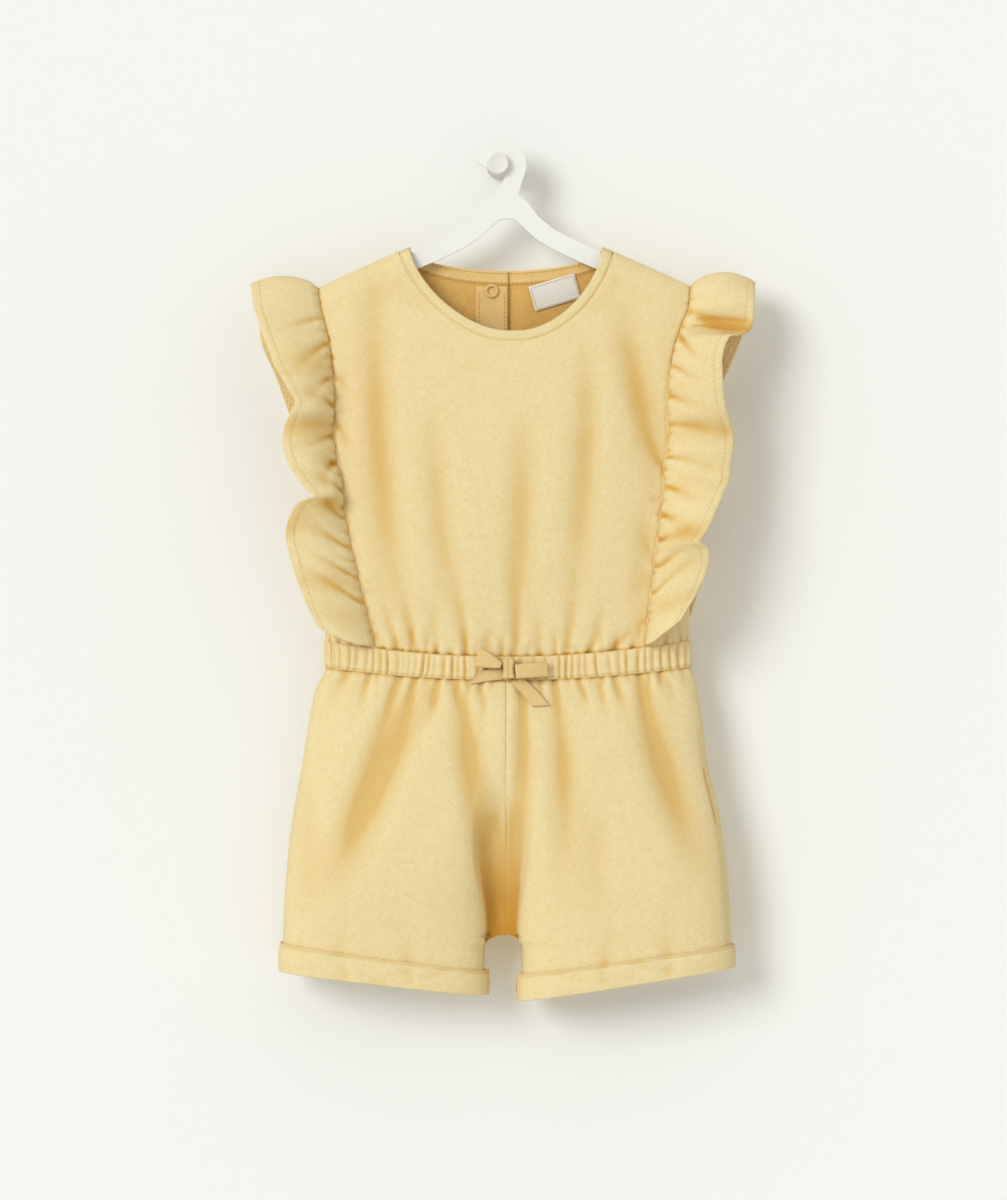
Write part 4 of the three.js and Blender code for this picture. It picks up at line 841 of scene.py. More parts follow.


# The third colour of each brushed jersey is its painted shade colour for creases.
jersey = brushed_jersey("jersey_face", (236, 218, 170), (228, 206, 149), (216, 176, 98))
# Painted light: the terry's loops and mottling are its own, but its pale tone is lifted above the cloth's to
# stand in for fill light on the reverse.
reverse_painted_light = terry("jersey_reverse_painted_light", (250, 230, 182), (238, 206, 146))
# Painted shade: the garment's inside is this darker, oranger copy of the face jersey.
shaded_lining = brushed_jersey("jersey_inside_painted_shade", (230, 187, 110), (218, 171, 92), (190, 136, 60), 0.1)
# Painted shade: a darker copy of the binding for its inner face and the placket's inner face.
binding_inside_shaded = brushed_jersey("binding_inside_shaded", (236, 202, 136), (228, 190, 122), (200, 150, 76))
binding = brushed_jersey("binding_jersey", (235, 217, 169), (227, 205, 148), (216, 176, 98))
thread = woven("thread", (238, 208, 146), (230, 196, 130), 0.0004)
# A darker thread: painted shade for the stitches inside the garment; the upright stitched line on the front
# casing uses it too.
darker_thread_and_shade = woven("darker_thread_and_shade", (228, 178, 100), (216, 164, 86), 0.0004)
ribbon_cloth = woven("ribbon_tape", (238, 208, 144), (216, 166, 84), 0.0006, 0.6)
# Painted shade: darker copies of the ribbon for its underside and its cut edges.
ribbon_inside_shaded = woven("ribbon_inside_shaded", (220, 176, 100), (206, 154, 76), 0.0006)
ribbon_edge_shaded = woven("ribbon_edge_shaded", (208, 154, 76), (196, 138, 60), 0.0006)
label_cloth = woven("label_weave", (250, 246, 236), (244, 238, 224), 0.0005, 0.8)
stud_paint = painted("stud_paint", (226, 190, 122), 0.4)
hanger_white = painted("hanger_white", (240, 241, 237), 0.42)
peg_paint = painted("peg_paint", (232, 231, 227), 0.55)


def spaced(count, margin=0.006):
    """Even shares from 0 to 1 with one more close to each end."""
    return np.concatenate([[0, margin / 2], np.linspace(margin, 1 - margin, count - 4), [1 - margin / 2, 1]])


# Bodice
def cut_grow(face):
    return NECKS[face]["width"] + 1.5 * SEAM_GAP


def front_column(u, z):
    side = np.where(u < 0.5, -1, 1)
    edge = np.abs(2 * u - 1)
    neck_share = NECKS["front"]["share"]
    half = NECK_HALF + cut_grow("front")
    limit = by_side(SEAM, side, shoulder_line(half))
    corner = half / limit
    outer = lerp(corner, 1, (edge - neck_share) / (1 - neck_share))
    share = np.where(edge <= neck_share, corner * edge / neck_share, outer)
    return side * share * (by_side(SEAM, side, z) + UNDER * ease((edge - neck_share) / 0.1))


def back_column(side):
    """Places the columns of one back half."""
    neck_share = NECKS["back"]["share"]
    half = NECK_HALF + cut_grow("back")
    limit = curve(SEAM, shoulder_line(half), side_name(side))
    middle = LAP_EDGE_X if side < 0 else LAP_BACK_X

    def column(u, z):
        seam = seam_x(side, z)
        corner = half * seam / limit
        seam = seam + side * UNDER
        near = lerp(middle, corner, u / neck_share)
        far = lerp(corner, seam, (u - neck_share) / (1 - neck_share))
        return np.where(u < neck_share, near, far)
    return column


def column_ends(face, column, u):
    """Heights where columns meet the waist casing and the neck or shoulder."""
    top = np.full(u.shape, float(SHOULDER_Z))
    foot = np.full(u.shape, float(BAND_TOP_SIDE))
    for _ in range(8):
        top = neck_edge(face, column(u, top), cut_grow(face))
        foot = band_top(column(u, foot))
    return top, foot


def lap_raise(x):
    return LAP_RAISE * (1 - ease((x - LAP_EDGE_X - 2) / 12))


def bodice_rows(count):
    """Shares of the height, closer together where the shoulder rolls."""
    low = np.linspace(0, 0.93, int(count * 0.82))
    high = 0.93 + 0.07 * np.sin(np.linspace(0, math.pi / 2, count - len(low) + 1)[1:])
    return np.concatenate([low, high])


def tucked(inside):
    """How far a seam pulls the cloth in, by the distance from it."""
    return TUCK * (1 - ease(inside / TUCK_REACH))


def bodice_relief(face, x, z, seams):
    """Gathers above the waist and small puckers beside the ruffle seams."""
    above = z - band_top(x)
    inside = {side: curve(SEAM, z, side_name(side)) - side * x for side in SIDES}
    fade = ease(np.minimum(inside[-1], inside[1]) / 8)
    sink = puckers(waist_puckers[face], x, np.maximum(above, 0)) * fade
    tuck = tucked(above)
    for side in seams:
        sink = sink + puckers(seam_puckers[side], -z, np.maximum(inside[side], 0))
        tuck = np.maximum(tuck, tucked(inside[side]))
    return sink, 0.12 * ripple(x, z, 34, 3 if face == "front" else 4), tuck


def crease_shade(sink, tuck=0.0, gain=0.2):
    return np.clip(gain * np.maximum(sink, 0), 0, 0.6) + 0.35 * np.clip(tuck / TUCK, 0, 1) ** 2


def neck_tuck(face, x, z):
    below = neck_edge(face, x, cut_grow(face)) - z
    on_neck = np.abs(x) < NECK_HALF + cut_grow(face) - 1
    return np.where(on_neck, tucked(below + UNDER), 0)


def make_bodice(name, face, column, u, rows, on_neck, seams, raised):
    """A bodice panel. Its neck edge goes a little under the binding."""
    v = bodice_rows(rows)[:, None]
    top, foot = column_ends(face, column, u)
    z = lerp(foot - OVERLAP, top + np.where(on_neck, UNDER, 0), v)
    x = column(u, z)
    sink, soft, tuck = bodice_relief(face, x, z, seams)
    tuck = np.maximum(tuck, neck_tuck(face, x, z))
    points, _ = on_torso(face, x, z, raised(x) + soft - sink - tuck)
    shade = crease_shade(sink, tuck) + fold_shade(face, x, z)
    return shell(name, points, OUTWARD[face], WALL, [jersey, shaded_lining], shade, face=face)


def make_front_bodice():
    u = np.linspace(0, 1, 201)[None, :]
    on_neck = np.abs(2 * u - 1) < NECKS["front"]["share"] - 0.004
    return make_bodice("bodice_front_cloth", "front", front_column, u, 168, on_neck, SIDES, lambda x: 0)


def make_back_bodice(side):
    """One back half, with its pressed hem. The right one lies over the left."""
    def raised(x):
        return groove(x, LAP_HEM_X[side], 0.25) + (lap_raise(x) if side > 0 else 0)
    u = np.linspace(0, 1, 100)[None, :]
    on_neck = u < NECKS["back"]["share"] - 0.004
    name = f"bodice_back_{side_name(side)}_cloth"
    return make_bodice(name, "back", back_column(side), u, 140, on_neck, [side], raised)


def make_side_panel(side):
    def place(angle, z):
        return ring(angle if side > 0 else math.pi - angle, z)
    rows = 90
    u = np.linspace(0, 1, 60)[None, :]
    v = spaced(rows)[:, None]
    seam_foot = band_top(seam_x(side, BAND_TOP_SIDE))
    armhole_top = lerp(seam_foot, shoulder_line(seam_x(side, SEAM_TOP_Z)), ARMHOLE_SHARE)
    armhole = lerp(ARMHOLE_FOOT, armhole_top, np.abs(2 * u - 1) ** ARMHOLE_POWER)
    x = np.full((rows, 60), seam_x(side, ARMHOLE_FOOT))
    for _ in range(8):
        z = lerp(band_top(x) - OVERLAP, armhole, v)
        angle = lerp(1, -1, u) * ring_angle(seam_x(side, z) - side * OVERLAP, z)
        x = place(angle, z)[..., 0] - GARMENT_X
    points = place(angle, z)
    away = (points - [GARMENT_X + SPINE_SHARE * side * 100, PLANE_Y, 0]) * [1, 1, 0]
    normals = grid_normals(points, away)
    inside = (ring_angle(seam_x(side, z), z) - np.abs(angle)) * PANEL_RADIUS
    tuck = TUCK * (1 - ease((inside + OVERLAP) / (TUCK_REACH + OVERLAP)))
    gathers = puckers(side_puckers[side], angle * PANEL_RADIUS, np.maximum(z - band_top(x), 0))
    hem = groove(z - armhole, -ARMHOLE_HEM, 0.25) + 0.15 * ease(z - armhole + ARMHOLE_HEM)
    fold = np.where(angle > 0, all_folds("front", x, z), all_folds("back", x, z))
    rise = 0.2 * ripple(angle * PANEL_RADIUS, z, 26, 5) - gathers - tuck + hem - fold
    points = points + normals * rise[..., None]
    stitches(points, normals, 1 - ARMHOLE_HEM / rows, np.linspace(0, 1, 200))
    name = f"side_{side_name(side)}_cloth"
    return shell(name, points, away, WALL, [jersey, reverse_painted_light], crease_shade(gathers, tuck))


# Ruffles, with the steps along half of a seam, closer together at the shoulder
ROOT_STEPS = 220
ROOT_SPACING = 1.6


def ruffle_root(side):
    """Points, normals and heights of the seam from the front waist over the shoulder to the back."""
    top = shoulder_line(seam_x(side, SEAM_TOP_Z))
    foot = band_top(seam_x(side, BAND_TOP_SIDE)) + 1
    i = np.arange(-ROOT_STEPS, ROOT_STEPS + 1)
    z = lerp(top, foot, (np.abs(i) / ROOT_STEPS) ** ROOT_SPACING)
    x = seam_x(side, z)
    halves = []
    for face in FACES:
        normals = torso_normal(face, x, z)
        lift = RUFFLE_LIFT - all_folds(face, x, z)
        halves.append((torso(face, x, z) + normals * lift[:, None], normals))
    points, normals = (np.where((i < 0)[:, None], halves[0][k], halves[1][k]) for k in (0, 1))
    return points, normals, z


# Folds of each ruffle from its seam outward: distance below the peg, lean, width and depth
RUFFLE_FOLDS = {
    (-1, "front"): [(96, 0.3, 5, 1.6), (112, 0.5, 6, 2), (133, 0.4, 5, 1.8), (151, -0.2, 6, 2.4),
                    (170, 0.3, 5, 1.5), (186, 0.4, 6, 2), (205, -0.3, 6, 2.4), (222, -0.4, 5, 1.6),
                    (240, -0.5, 6, 2), (258, -0.5, 5, 1.8), (274, -0.6, 5, 1.6)],
    (1, "front"): [(92, 0.4, 6, 1.8), (108, 0.6, 6, 2.4), (126, 0.4, 5, 1.7), (145, 0.3, 6, 2),
                   (163, 0.1, 5, 1.4), (182, 0.2, 6, 1.8), (201, 0.3, 5, 1.8), (219, 0.2, 6, 2.2),
                   (235, -0.2, 6, 2.4), (252, -0.4, 5, 1.8), (268, -0.6, 5, 1.6)],
    (-1, "back"): [(100, 0.4, 6, 1.6), (128, 0.3, 6, 1.8), (160, 0.1, 6, 1.8), (192, 0.3, 6, 1.6),
                   (224, -0.3, 6, 1.6), (254, -0.4, 6, 1.6)],
    (1, "back"): [(104, 0.4, 6, 1.6), (134, 0.2, 6, 1.6), (168, 0.2, 6, 1.6), (202, 0.1, 6, 1.8),
                  (232, -0.3, 6, 1.6), (262, -0.4, 6, 1.4)],
}

# Broad hollows of each ruffle's front, sunk in the cloth and darkened with painted shade: height, share of
# its width, half height, half share, strength
RUFFLE_HOLLOWS_AND_SHADE = {
    -1: [(-126, 0.35, 13, 0.5, 0.45), (-166, 0.5, 9, 0.8, 0.8), (-186, 0.15, 6, 0.4, 0.5),
         (-214, 0.4, 7, 0.6, 0.75), (-226, 0.95, 10, 0.35, 0.5), (-262, 0.5, 9, 0.6, 0.55),
         (-284, 0.5, 9, 0.5, 0.3)],
    1: [(-105, 0.6, 6, 0.6, 0.45), (-142, 0.3, 7, 0.4, 0.2), (-166, 0.55, 11, 0.7, 0.5),
        (-200, 0.3, 8, 0.4, 0.3), (-231, 0.7, 9, 0.5, 0.6), (-252, 0.5, 7, 0.5, 0.3),
        (-276, 0.5, 8, 0.6, 0.45)],
}


def make_ruffle(side):
    """A wavy strip on its seam, with folds that start there and hollows inside its waves."""
    root, root_normals, heights = ruffle_root(side)
    along = distances(root)
    length = along[-1]
    middle = along[ROOT_STEPS]
    rows = 31
    s = np.linspace(0, length, 480)
    w = np.concatenate([[0], np.linspace(0.012, 0.985, rows - 2), [1]])[:, None]
    away = w * RUFFLE_WIDTH
    z = np.interp(s, along, heights)
    front = s < middle
    name = side_name(side)

    def edge(column):
        front_values = curve(RUFFLE_EDGE[name + "_front"], z, column)
        return np.where(front, front_values, curve(RUFFLE_EDGE[name + "_back"], z, column))
    steps = np.arange(len(along))
    tangents = unit(root[np.minimum(steps + 6, steps[-1])] - root[np.maximum(steps - 6, 0)])
    tangent = unit(spread(s, along, tangents))
    normal = unit(spread(s, along, root_normals))
    reach = edge("reach")
    rise = edge("rise") * (RUFFLE_FLATTEN if side < 0 else 1)
    out = np.array([side, 0.0, 0.0])
    facing = unit(-side * np.cross(tangent, out))
    chord = np.hypot(reach, rise)
    slack = np.sqrt(0.375 * chord * np.maximum(RUFFLE_WIDTH - chord, 0))
    bow = np.minimum(slack, RUFFLE_BOW_MOST) * 4 * w * (1 - w) * np.where(front, 1, RUFFLE_BACK_BOW)
    sideways = reach * w - bow * rise / chord
    forward = rise * w**RUFFLE_RISE_POWER + bow * reach / chord
    dive = (RUFFLE_LIFT + 0.15) * (1 - ease(away / 4.5))
    grid = spread(s, along, root) + sideways[..., None] * out + forward[..., None] * facing
    grid = grid + (edge("lift") * w * w)[..., None] * np.array([0, 0, 1.0]) - dive[..., None] * normal
    maker = np.random.default_rng(31 + side)
    small = pucker_table(maker, 4, length - 4, (3, 8), (3, 13), (1.8, 3.4), (0.3, 1.0), (-0.5, 0.5))
    sink = puckers(small, s, away) * ease(away / 1.5)
    for face, sign in (("front", -1), ("back", 1)):
        order = ROOT_STEPS + sign * np.arange(ROOT_STEPS + 1)
        for height, lean, width, depth in RUFFLE_FOLDS[(side, face)]:
            place = np.interp(height, -heights[order], along[order])
            off = np.abs(s - place - sign * lean * away) / (width * (0.7 + 0.03 * away))
            sink = sink + 0.85 * depth * dent(off, 0.35) * ease(away / 3) * (1 - w) ** 1.2
    broad = np.zeros(sink.shape)
    for height, share_at, tall, wide, strength in RUFFLE_HOLLOWS_AND_SHADE[side]:
        near = ((z - height) / tall) ** 2 + ((w - share_at) / wide) ** 2
        broad = broad + strength * np.exp(-1.5 * near) * front
    sink = (sink + 2.2 * broad) * (0.35 + 0.65 * ease(np.abs(s - middle) / 14))
    wave = 0.35 * ripple(s, away * 1.4, 24, 11 + side)
    hem_at = RUFFLE_WIDTH - RUFFLE_HEM
    hem = groove(away, hem_at, 0.16) + 0.12 * ease((away - hem_at) / 1.2)
    towards = facing + 0.35 * out
    normals = grid_normals(grid, towards)
    grid = grid + normals * (wave * w + hem - sink)[..., None]
    share = (hem_at / RUFFLE_WIDTH - 0.012) / 0.973 * (rows - 3) / (rows - 1) + 1 / (rows - 1)
    stitches(grid, normals, share, np.linspace(0.003, 0.997, 900))
    # Painted shade: darker in the broad hollows and the fold troughs, and along the seam where the ruffle
    # starts
    seam = 0.4 * np.clip(1 - away / 3.5, 0, 1) ** 3
    shade = crease_shade(sink - 1.6 * broad, 0, 0.17) + 0.42 * broad + seam
    return shell(f"ruffle_{name}_cloth", grid, towards, WALL, [jersey, reverse_painted_light], shade)


# Neck bindings
def make_binding(name, face, column, raised):
    """A ribbed strip along a neck edge, stitched on both sides where its inside shows."""
    neck = NECKS[face]
    shares = np.linspace(0, 1, 110) * neck["share"]
    if face == "front":
        shares = 0.5 + (np.linspace(0, 1, 200) - 0.5) * neck["share"]
    u = shares[None, :]
    v = np.linspace(0, 1, 13)[:, None]
    top, _ = column_ends(face, column, u)
    cut = column(u, top) / (NECK_HALF + cut_grow(face))
    low_x = cut * (NECK_HALF + neck["width"])
    high_x = cut * NECK_HALF
    x = lerp(low_x, high_x, v)
    z = lerp(neck_edge(face, low_x, neck["width"]), neck_edge(face, high_x, 0), v)
    across = v * neck["width"]
    ribs = 0.05 * np.sin(2 * math.pi * len(shares) * u / 1.5)
    relief = 0.4 * neck["crown"] * 4 * v * (1 - v) + 0.12 + groove(across, 1.0, 0.22) + ribs
    points, normals = on_torso(face, x, z, relief + raised(x))
    line_at = BINDING_STITCH / neck["width"]
    spots = np.linspace(0.01, 0.99, 300)
    stitches(points, normals, line_at, spots, pitch=2.4)
    if face == "back":
        inside = points - normals * (neck["wall"] + 0.1)
        for share in (line_at, 0.82):
            stitches(inside, -normals, share, spots, 2.4, 1.6, 0.32, 0.2, 1)
    # Painted shade: a darker line along the binding's edge at its seam
    shade = 0.12 * np.exp(-((across / 0.7) ** 2))
    looks = [binding, binding_inside_shaded]
    return shell(name, points, OUTWARD[face], neck["wall"], looks, shade, face=face, soften=0.42)


# Waist casing
def make_band(face):
    """Half of the waist casing, pleated by its elastic. The front has one upright stitched line."""
    rows = 18
    columns = 430
    u = np.linspace(0, 1, columns)[None, :]
    v = np.linspace(0, 1, rows)[:, None]
    z = np.full((rows, columns), float(BAND_TOP_SIDE))
    seam = math.pi - ring_angle(-float(BAND_SEAM_X), np.full(1, -308.0))
    angle = (seam if face == "front" else seam - 2 * math.pi) * u
    for _ in range(6):
        x = ring(angle, z)[..., 0] - GARMENT_X
        z = lerp(band_foot(x), band_top(x), v)
    points = ring(angle, z)
    away = (points - [GARMENT_X, PLANE_Y, 0]) * [1, 1, 0]
    normals = grid_normals(points, away)
    s = distances(points[rows // 2])[None, :]
    sink = puckers(band_pleats[face], s + 0.5 * np.sin(2 * v + s / 7), np.full((rows, 1), 2.0))
    pinch = 0.4 + 0.6 * np.sin(math.pi * np.clip(v * 0.86 + 0.1, 0, 1))
    stitched = groove((1 - v) * BAND_HEIGHT, 14.2, 0.5, 1.6)
    if face == "front":
        across_at = int(np.argmin(np.abs(points[rows // 2, :, 0] - GARMENT_X - BAND_STITCH_X)))
        stitched = stitched + groove(s, s[0, across_at], 0.6, 1.4)
    tuck = 0.9 * (1 - ease(v / 0.09)) + 0.9 * (1 - ease((1 - v) / 0.09))
    rise = 0.9 + 0.45 * 4 * v * (1 - v) + stitched - sink * pinch - 0.5 * tuck
    points = points + normals * rise[..., None]
    stitches(points, normals, 1.8 / BAND_HEIGHT, np.linspace(0.002, 0.998, 900), pitch=2.2)
    if face == "front":
        stitches(points, normals, np.linspace(0.16, 0.9, 40), across_at / (columns - 1), pitch=2.2, pick=1)
    # Painted shade: darker in the pleats and along the casing's top and foot, where it tucks in
    shade = crease_shade(sink, 0, 0.22) + 0.3 * tuck
    return shell(f"waist_{face}_cloth", points, away, BAND_WALL, [jersey, reverse_painted_light], shade)


# Legs and cuffs
def cuff_line(side, x, end):
    cuff = CUFFS[side_name(side)]
    share = np.clip((np.abs(x) - cuff["inner"]) / (cuff["outer"] - cuff["inner"]), 0, 1)
    return lerp(cuff[end][0], cuff[end][1], share)


def leg_spine(side, z):
    name = side_name(side)
    middle = side * (CUFFS[name]["inner"] + curve(BODY, z, name)) / 2
    return np.stack(np.broadcast_arrays(GARMENT_X + middle, PLANE_Y, z), -1)


def on_leg(side, sign, u, z, rise):
    step = 0.004
    along = leg(side, sign, np.clip(u + step, 0, 1), z) - leg(side, sign, np.clip(u - step, 0, 1), z)
    up = leg(side, sign, u, z + 0.25) - leg(side, sign, u, z - 0.25)
    base = leg(side, sign, u, z)
    normal = outward(unit(np.cross(along, up)), base - leg_spine(side, z))
    face = "front" if sign > 0 else "back"
    sink = all_folds(face, base[..., 0] - GARMENT_X, z) * np.minimum(1, 12 * (1 - u))
    return own_side(face, base + normal * (rise - sink)[..., None]), normal


def pocket_slit(x, z):
    """The side seam's ditch, open at the pocket, by its depth at each place."""
    to_edge = curve(BODY, z, "right") - x
    open_part = ease((z + 414) / 6) * ease((-374 - z) / 6)
    return (0.18 + 0.6 * open_part) * np.exp(-(((to_edge - 3.4) / 0.9) ** 2)) * ease((-345 - z) / 10)


def make_leg(face, side):
    sign = 1 if face == "front" else -1
    name = side_name(side)
    close_rows = (np.linspace(0, 0.115, 12), np.linspace(0.12, 0.2, 27), np.linspace(0.208, 1, 95))
    v = np.concatenate(close_rows)[:, None]
    u = np.linspace(0, 1, 132)[None, :]
    z = np.full((len(v), 132), float(LEG_SPLIT_Z))
    for _ in range(6):
        x = leg(side, sign, u, z)[..., 0] - GARMENT_X
        z = lerp(cuff_line(side, x, "foot") + 0.8, band_foot(x) + OVERLAP, v)
    below = band_foot(x) - z
    to_middle = np.abs(x)
    sink = puckers(leg_puckers[(face, side)], to_middle, np.maximum(below, 0))
    sink = sink * ease((1 - u) * 12) * ease(to_middle / 4)
    tuck = tucked(below)
    side_ditch = 0.6 * (1 - ease((1 - u) * LEG_GIRTH / 2.2))
    middle_ditch = 0.25 * (1 - ease(to_middle / 0.9)) * ease((z - CROTCH_Z) / 6)
    ridge = 0.3 * np.exp(-(((to_middle - 3.2) / 2) ** 2)) * ease((z - VALLEY_TOP + 20) / 30)
    soft = 0.16 * ripple(side * x, z, 38, 7 + side + sign)
    slit = pocket_slit(x, z) if side > 0 and sign > 0 else 0
    rise = soft + ridge - sink - tuck - side_ditch - middle_ditch - slit
    points, _ = on_leg(side, sign, u, z, rise)
    # Painted shade in the puckers, the seam ditches and the pocket slit
    shade = crease_shade(sink, tuck) + 0.5 * side_ditch + 0.8 * middle_ditch + 0.5 * slit
    # Painted shade between the legs, deepening towards the crotch; most caps the shade higher up
    valley = VALLEY[name] * (0.5 + 0.6 * ease((VALLEY_TOP - z) / 80))
    soft_edge = lerp(1.7, 0.5, valley_steep(z))
    between = 1 - ease((to_middle - 0.5 * valley) / (soft_edge * valley))
    deeper = np.clip((VALLEY_TOP - z) / 100, 0, 1) ** 1.3
    shade = shade + fold_shade(face, x, z) + 0.95 * between * deeper
    most = lerp(0.4, 1, ease((VALLEY_SOFT - 25 - z) / 60))
    piece_name = f"leg_{face}_{name}_cloth"
    looks = [jersey, reverse_painted_light]
    return shell(piece_name, points, OUTWARD[face], WALL, looks, shade, False, face, 0.15, most)


def make_cuff(side):
    name = side_name(side)
    rows = 18
    columns = 280
    turn = (np.arange(columns) / columns * 2 - 1)[None, :]
    v = spaced(rows, 0.05)[:, None]
    grid = np.zeros((rows, columns, 3))
    normals = np.zeros((rows, columns, 3))
    shade = np.zeros((rows, columns))
    for sign in (1, -1):
        pick = (turn[0] > 0) if sign > 0 else (turn[0] <= 0)
        u = 1 - np.abs(turn[:, pick])
        z = np.full((rows, pick.sum()), CUFFS[name]["foot"][1])
        for _ in range(6):
            x = leg(side, sign, u, z)[..., 0] - GARMENT_X
            z = lerp(cuff_line(side, x, "foot"), cuff_line(side, x, "top"), v)
        wrinkle = 0.35 * ripple(np.abs(x) * sign, z * 1.6, 16, 21 + side)
        fold = groove(v * CUFF_HEIGHT, 15.2, 0.4, 1.4)
        seam = 0.5 * np.exp(-(((1 - u) * LEG_GIRTH / 1.6) ** 2))
        rise = SEAM_GAP + CUFF_WALL + 0.6 * 4 * v * (1 - v) + wrinkle * (0.4 + 0.6 * v) + fold - seam
        grid[:, pick], normals[:, pick] = on_leg(side, sign, u, z, rise)
        # Painted shade at the side seam, in the wrinkles' troughs and along the cuff's top edge
        shade[:, pick] = 0.5 * seam + 0.1 * np.clip(-wrinkle, 0, 1) + 0.3 * (1 - ease((1 - v) / 0.06))
    wrapped = np.concatenate([grid, grid[:, :1]], 1)
    stitches(wrapped, np.concatenate([normals, normals[:, :1]], 1), 0.86, np.linspace(0, 1, 700))
    looks = [jersey, reverse_painted_light]
    return shell(f"cuff_{name}_cloth", grid, unit(normals), CUFF_WALL, looks, shade, True, soften=0.45)


def make_pocket():
    u = np.linspace(POCKET["front"], POCKET["back"], 8)[None, :]
    z = np.linspace(POCKET["foot"], POCKET["top"], 24)[:, None]
    rise = np.full((24, 8), -WALL - 3 * SEAM_GAP)
    points, _ = on_leg(1, 1, 1 - u + 0 * z, z + 0 * u, rise)
    return shell("pocket_facing_cloth", points, (1, -1, 0), POCKET["wall"], [jersey, reverse_painted_light])


def make_placket():
    foot = STUD_HEIGHTS[-1] - PLACKET["below"]
    top = SHOULDER_Z - NECKS["back"]["drop"] - NECKS["back"]["width"] - 1
    x = np.linspace(LAP_EDGE_X - PLACKET["outer"], LAP_EDGE_X - PLACKET["inner"], 30)[None, :]
    z = np.linspace(foot, top, 80)[:, None]
    points, normals = on_torso("back", x + 0 * z, z + 0 * x, -WALL - SEAM_GAP)
    inside = points - normals * PLACKET["wall"]
    for column in (0.1, 0.9):
        stitches(inside, -normals, np.linspace(0.02, 0.98, 120), column, 2.4, 1.6, 0.3, 0.2, 1)
    looks = [shaded_lining, binding_inside_shaded]
    return shell("back_placket_cloth", points, OUTWARD["back"], PLACKET["wall"], looks, face="back")


def make_label():
    """The neck label, bare but for its stitched border."""
    tilt = math.radians(LABEL["tilt"])
    a = np.linspace(-0.5, 0.5, 49)[None, :] * LABEL["width"]
    b = np.linspace(-0.5, 0.5, 29)[:, None] * LABEL["height"]
    x = LABEL["x"] + a * math.cos(tilt) - b * math.sin(tilt)
    z = LABEL["z"] + a * math.sin(tilt) + b * math.cos(tilt)
    puff = -0.1 * np.sin(a / 5) - 0.2 * np.cos(b / 4)
    points, normals = on_torso("back", x, z, -NECKS["back"]["wall"] - SEAM_GAP + puff)
    inside = points - normals * LABEL["wall"]
    corners = [(0.07, 0.04), (0.07, 0.96), (0.93, 0.96), (0.93, 0.04), (0.07, 0.04)]
    for (row, column), (next_row, next_column) in zip(corners, corners[1:]):
        rows = np.linspace(row, next_row, 60)
        columns = np.linspace(column, next_column, 60)
        stitches(inside, -normals, rows, columns, 1.5, 1.1, 0.36, 0.2)
    looks = [label_cloth, label_cloth]
    return shell("neck_label_cloth", points, OUTWARD["back"], LABEL["wall"], looks, face="back")


# Studs, hanger and peg
def lathe(name, profile, segments, material, centre, axis):
    """Turns a profile of radius and height round an axis."""
    axis = unit(np.asarray(axis, float))
    helper = [1.0, 0, 0] if abs(axis[0]) < 0.9 else [0, 1.0, 0]
    first = unit(np.cross(axis, helper))
    second = np.cross(axis, first)
    angles = np.arange(segments) / segments * 2 * math.pi
    spokes = np.outer(np.cos(angles), first) + np.outer(np.sin(angles), second)
    radius, height = np.array(profile, float).T[:, :, None, None]
    points = np.asarray(centre) + spokes * np.maximum(radius, 0.001) + axis * height
    _, quads = grid_quads(len(profile), segments)
    piece = make_object(name, points.reshape(-1, 3), quads.tolist(), [material])
    return mend(piece, lambda work: bmesh.ops.remove_doubles(work, verts=work.verts, dist=MERGE_REACH))


def make_studs():
    """The rings under the lap and the caps over it, with the node of each."""
    half = STUD_THICK / 2
    under = -WALL - SEAM_GAP - PLACKET["wall"] - SEAM_GAP - half - 0.3
    over = LAP_RAISE + SEAM_GAP + half + 0.2
    ring_profile = [
        (STUD_HOLE, -half * 0.7), (STUD_HOLE + 0.2, -half), (STUD_RADIUS - 0.3, -half),
        (STUD_RADIUS, -half * 0.5), (STUD_RADIUS, half * 0.4), (STUD_RADIUS - 0.4, half),
        (STUD_HOLE + 0.7, half), (STUD_HOLE + 0.3, half * 0.7), (STUD_HOLE, half * 0.2),
        (STUD_HOLE, -half * 0.7),
    ]
    cap_profile = [
        (0, -half), (STUD_RADIUS, -half), (STUD_RADIUS + 0.4, -half * 0.5),
        (STUD_RADIUS + 0.3, half * 0.1), (STUD_RADIUS - 0.4, half * 0.6),
        (STUD_RADIUS - 1.6, half), (STUD_RADIUS - 2, half * 0.6), (0, half * 0.7),
    ]
    made = []
    for number, height in enumerate(STUD_HEIGHTS, 1):
        for kind, profile, rise in (("ring", ring_profile, under), ("cap", cap_profile, over)):
            point, normal = on_torso("back", np.array([float(STUD_X)]), np.array([height]), rise)
            piece = lathe(f"stud_{number}_{kind}", profile, 40, stud_paint, point[0], normal[0])
            made.append((piece, f"snap_{number}_{kind}"))
    return made


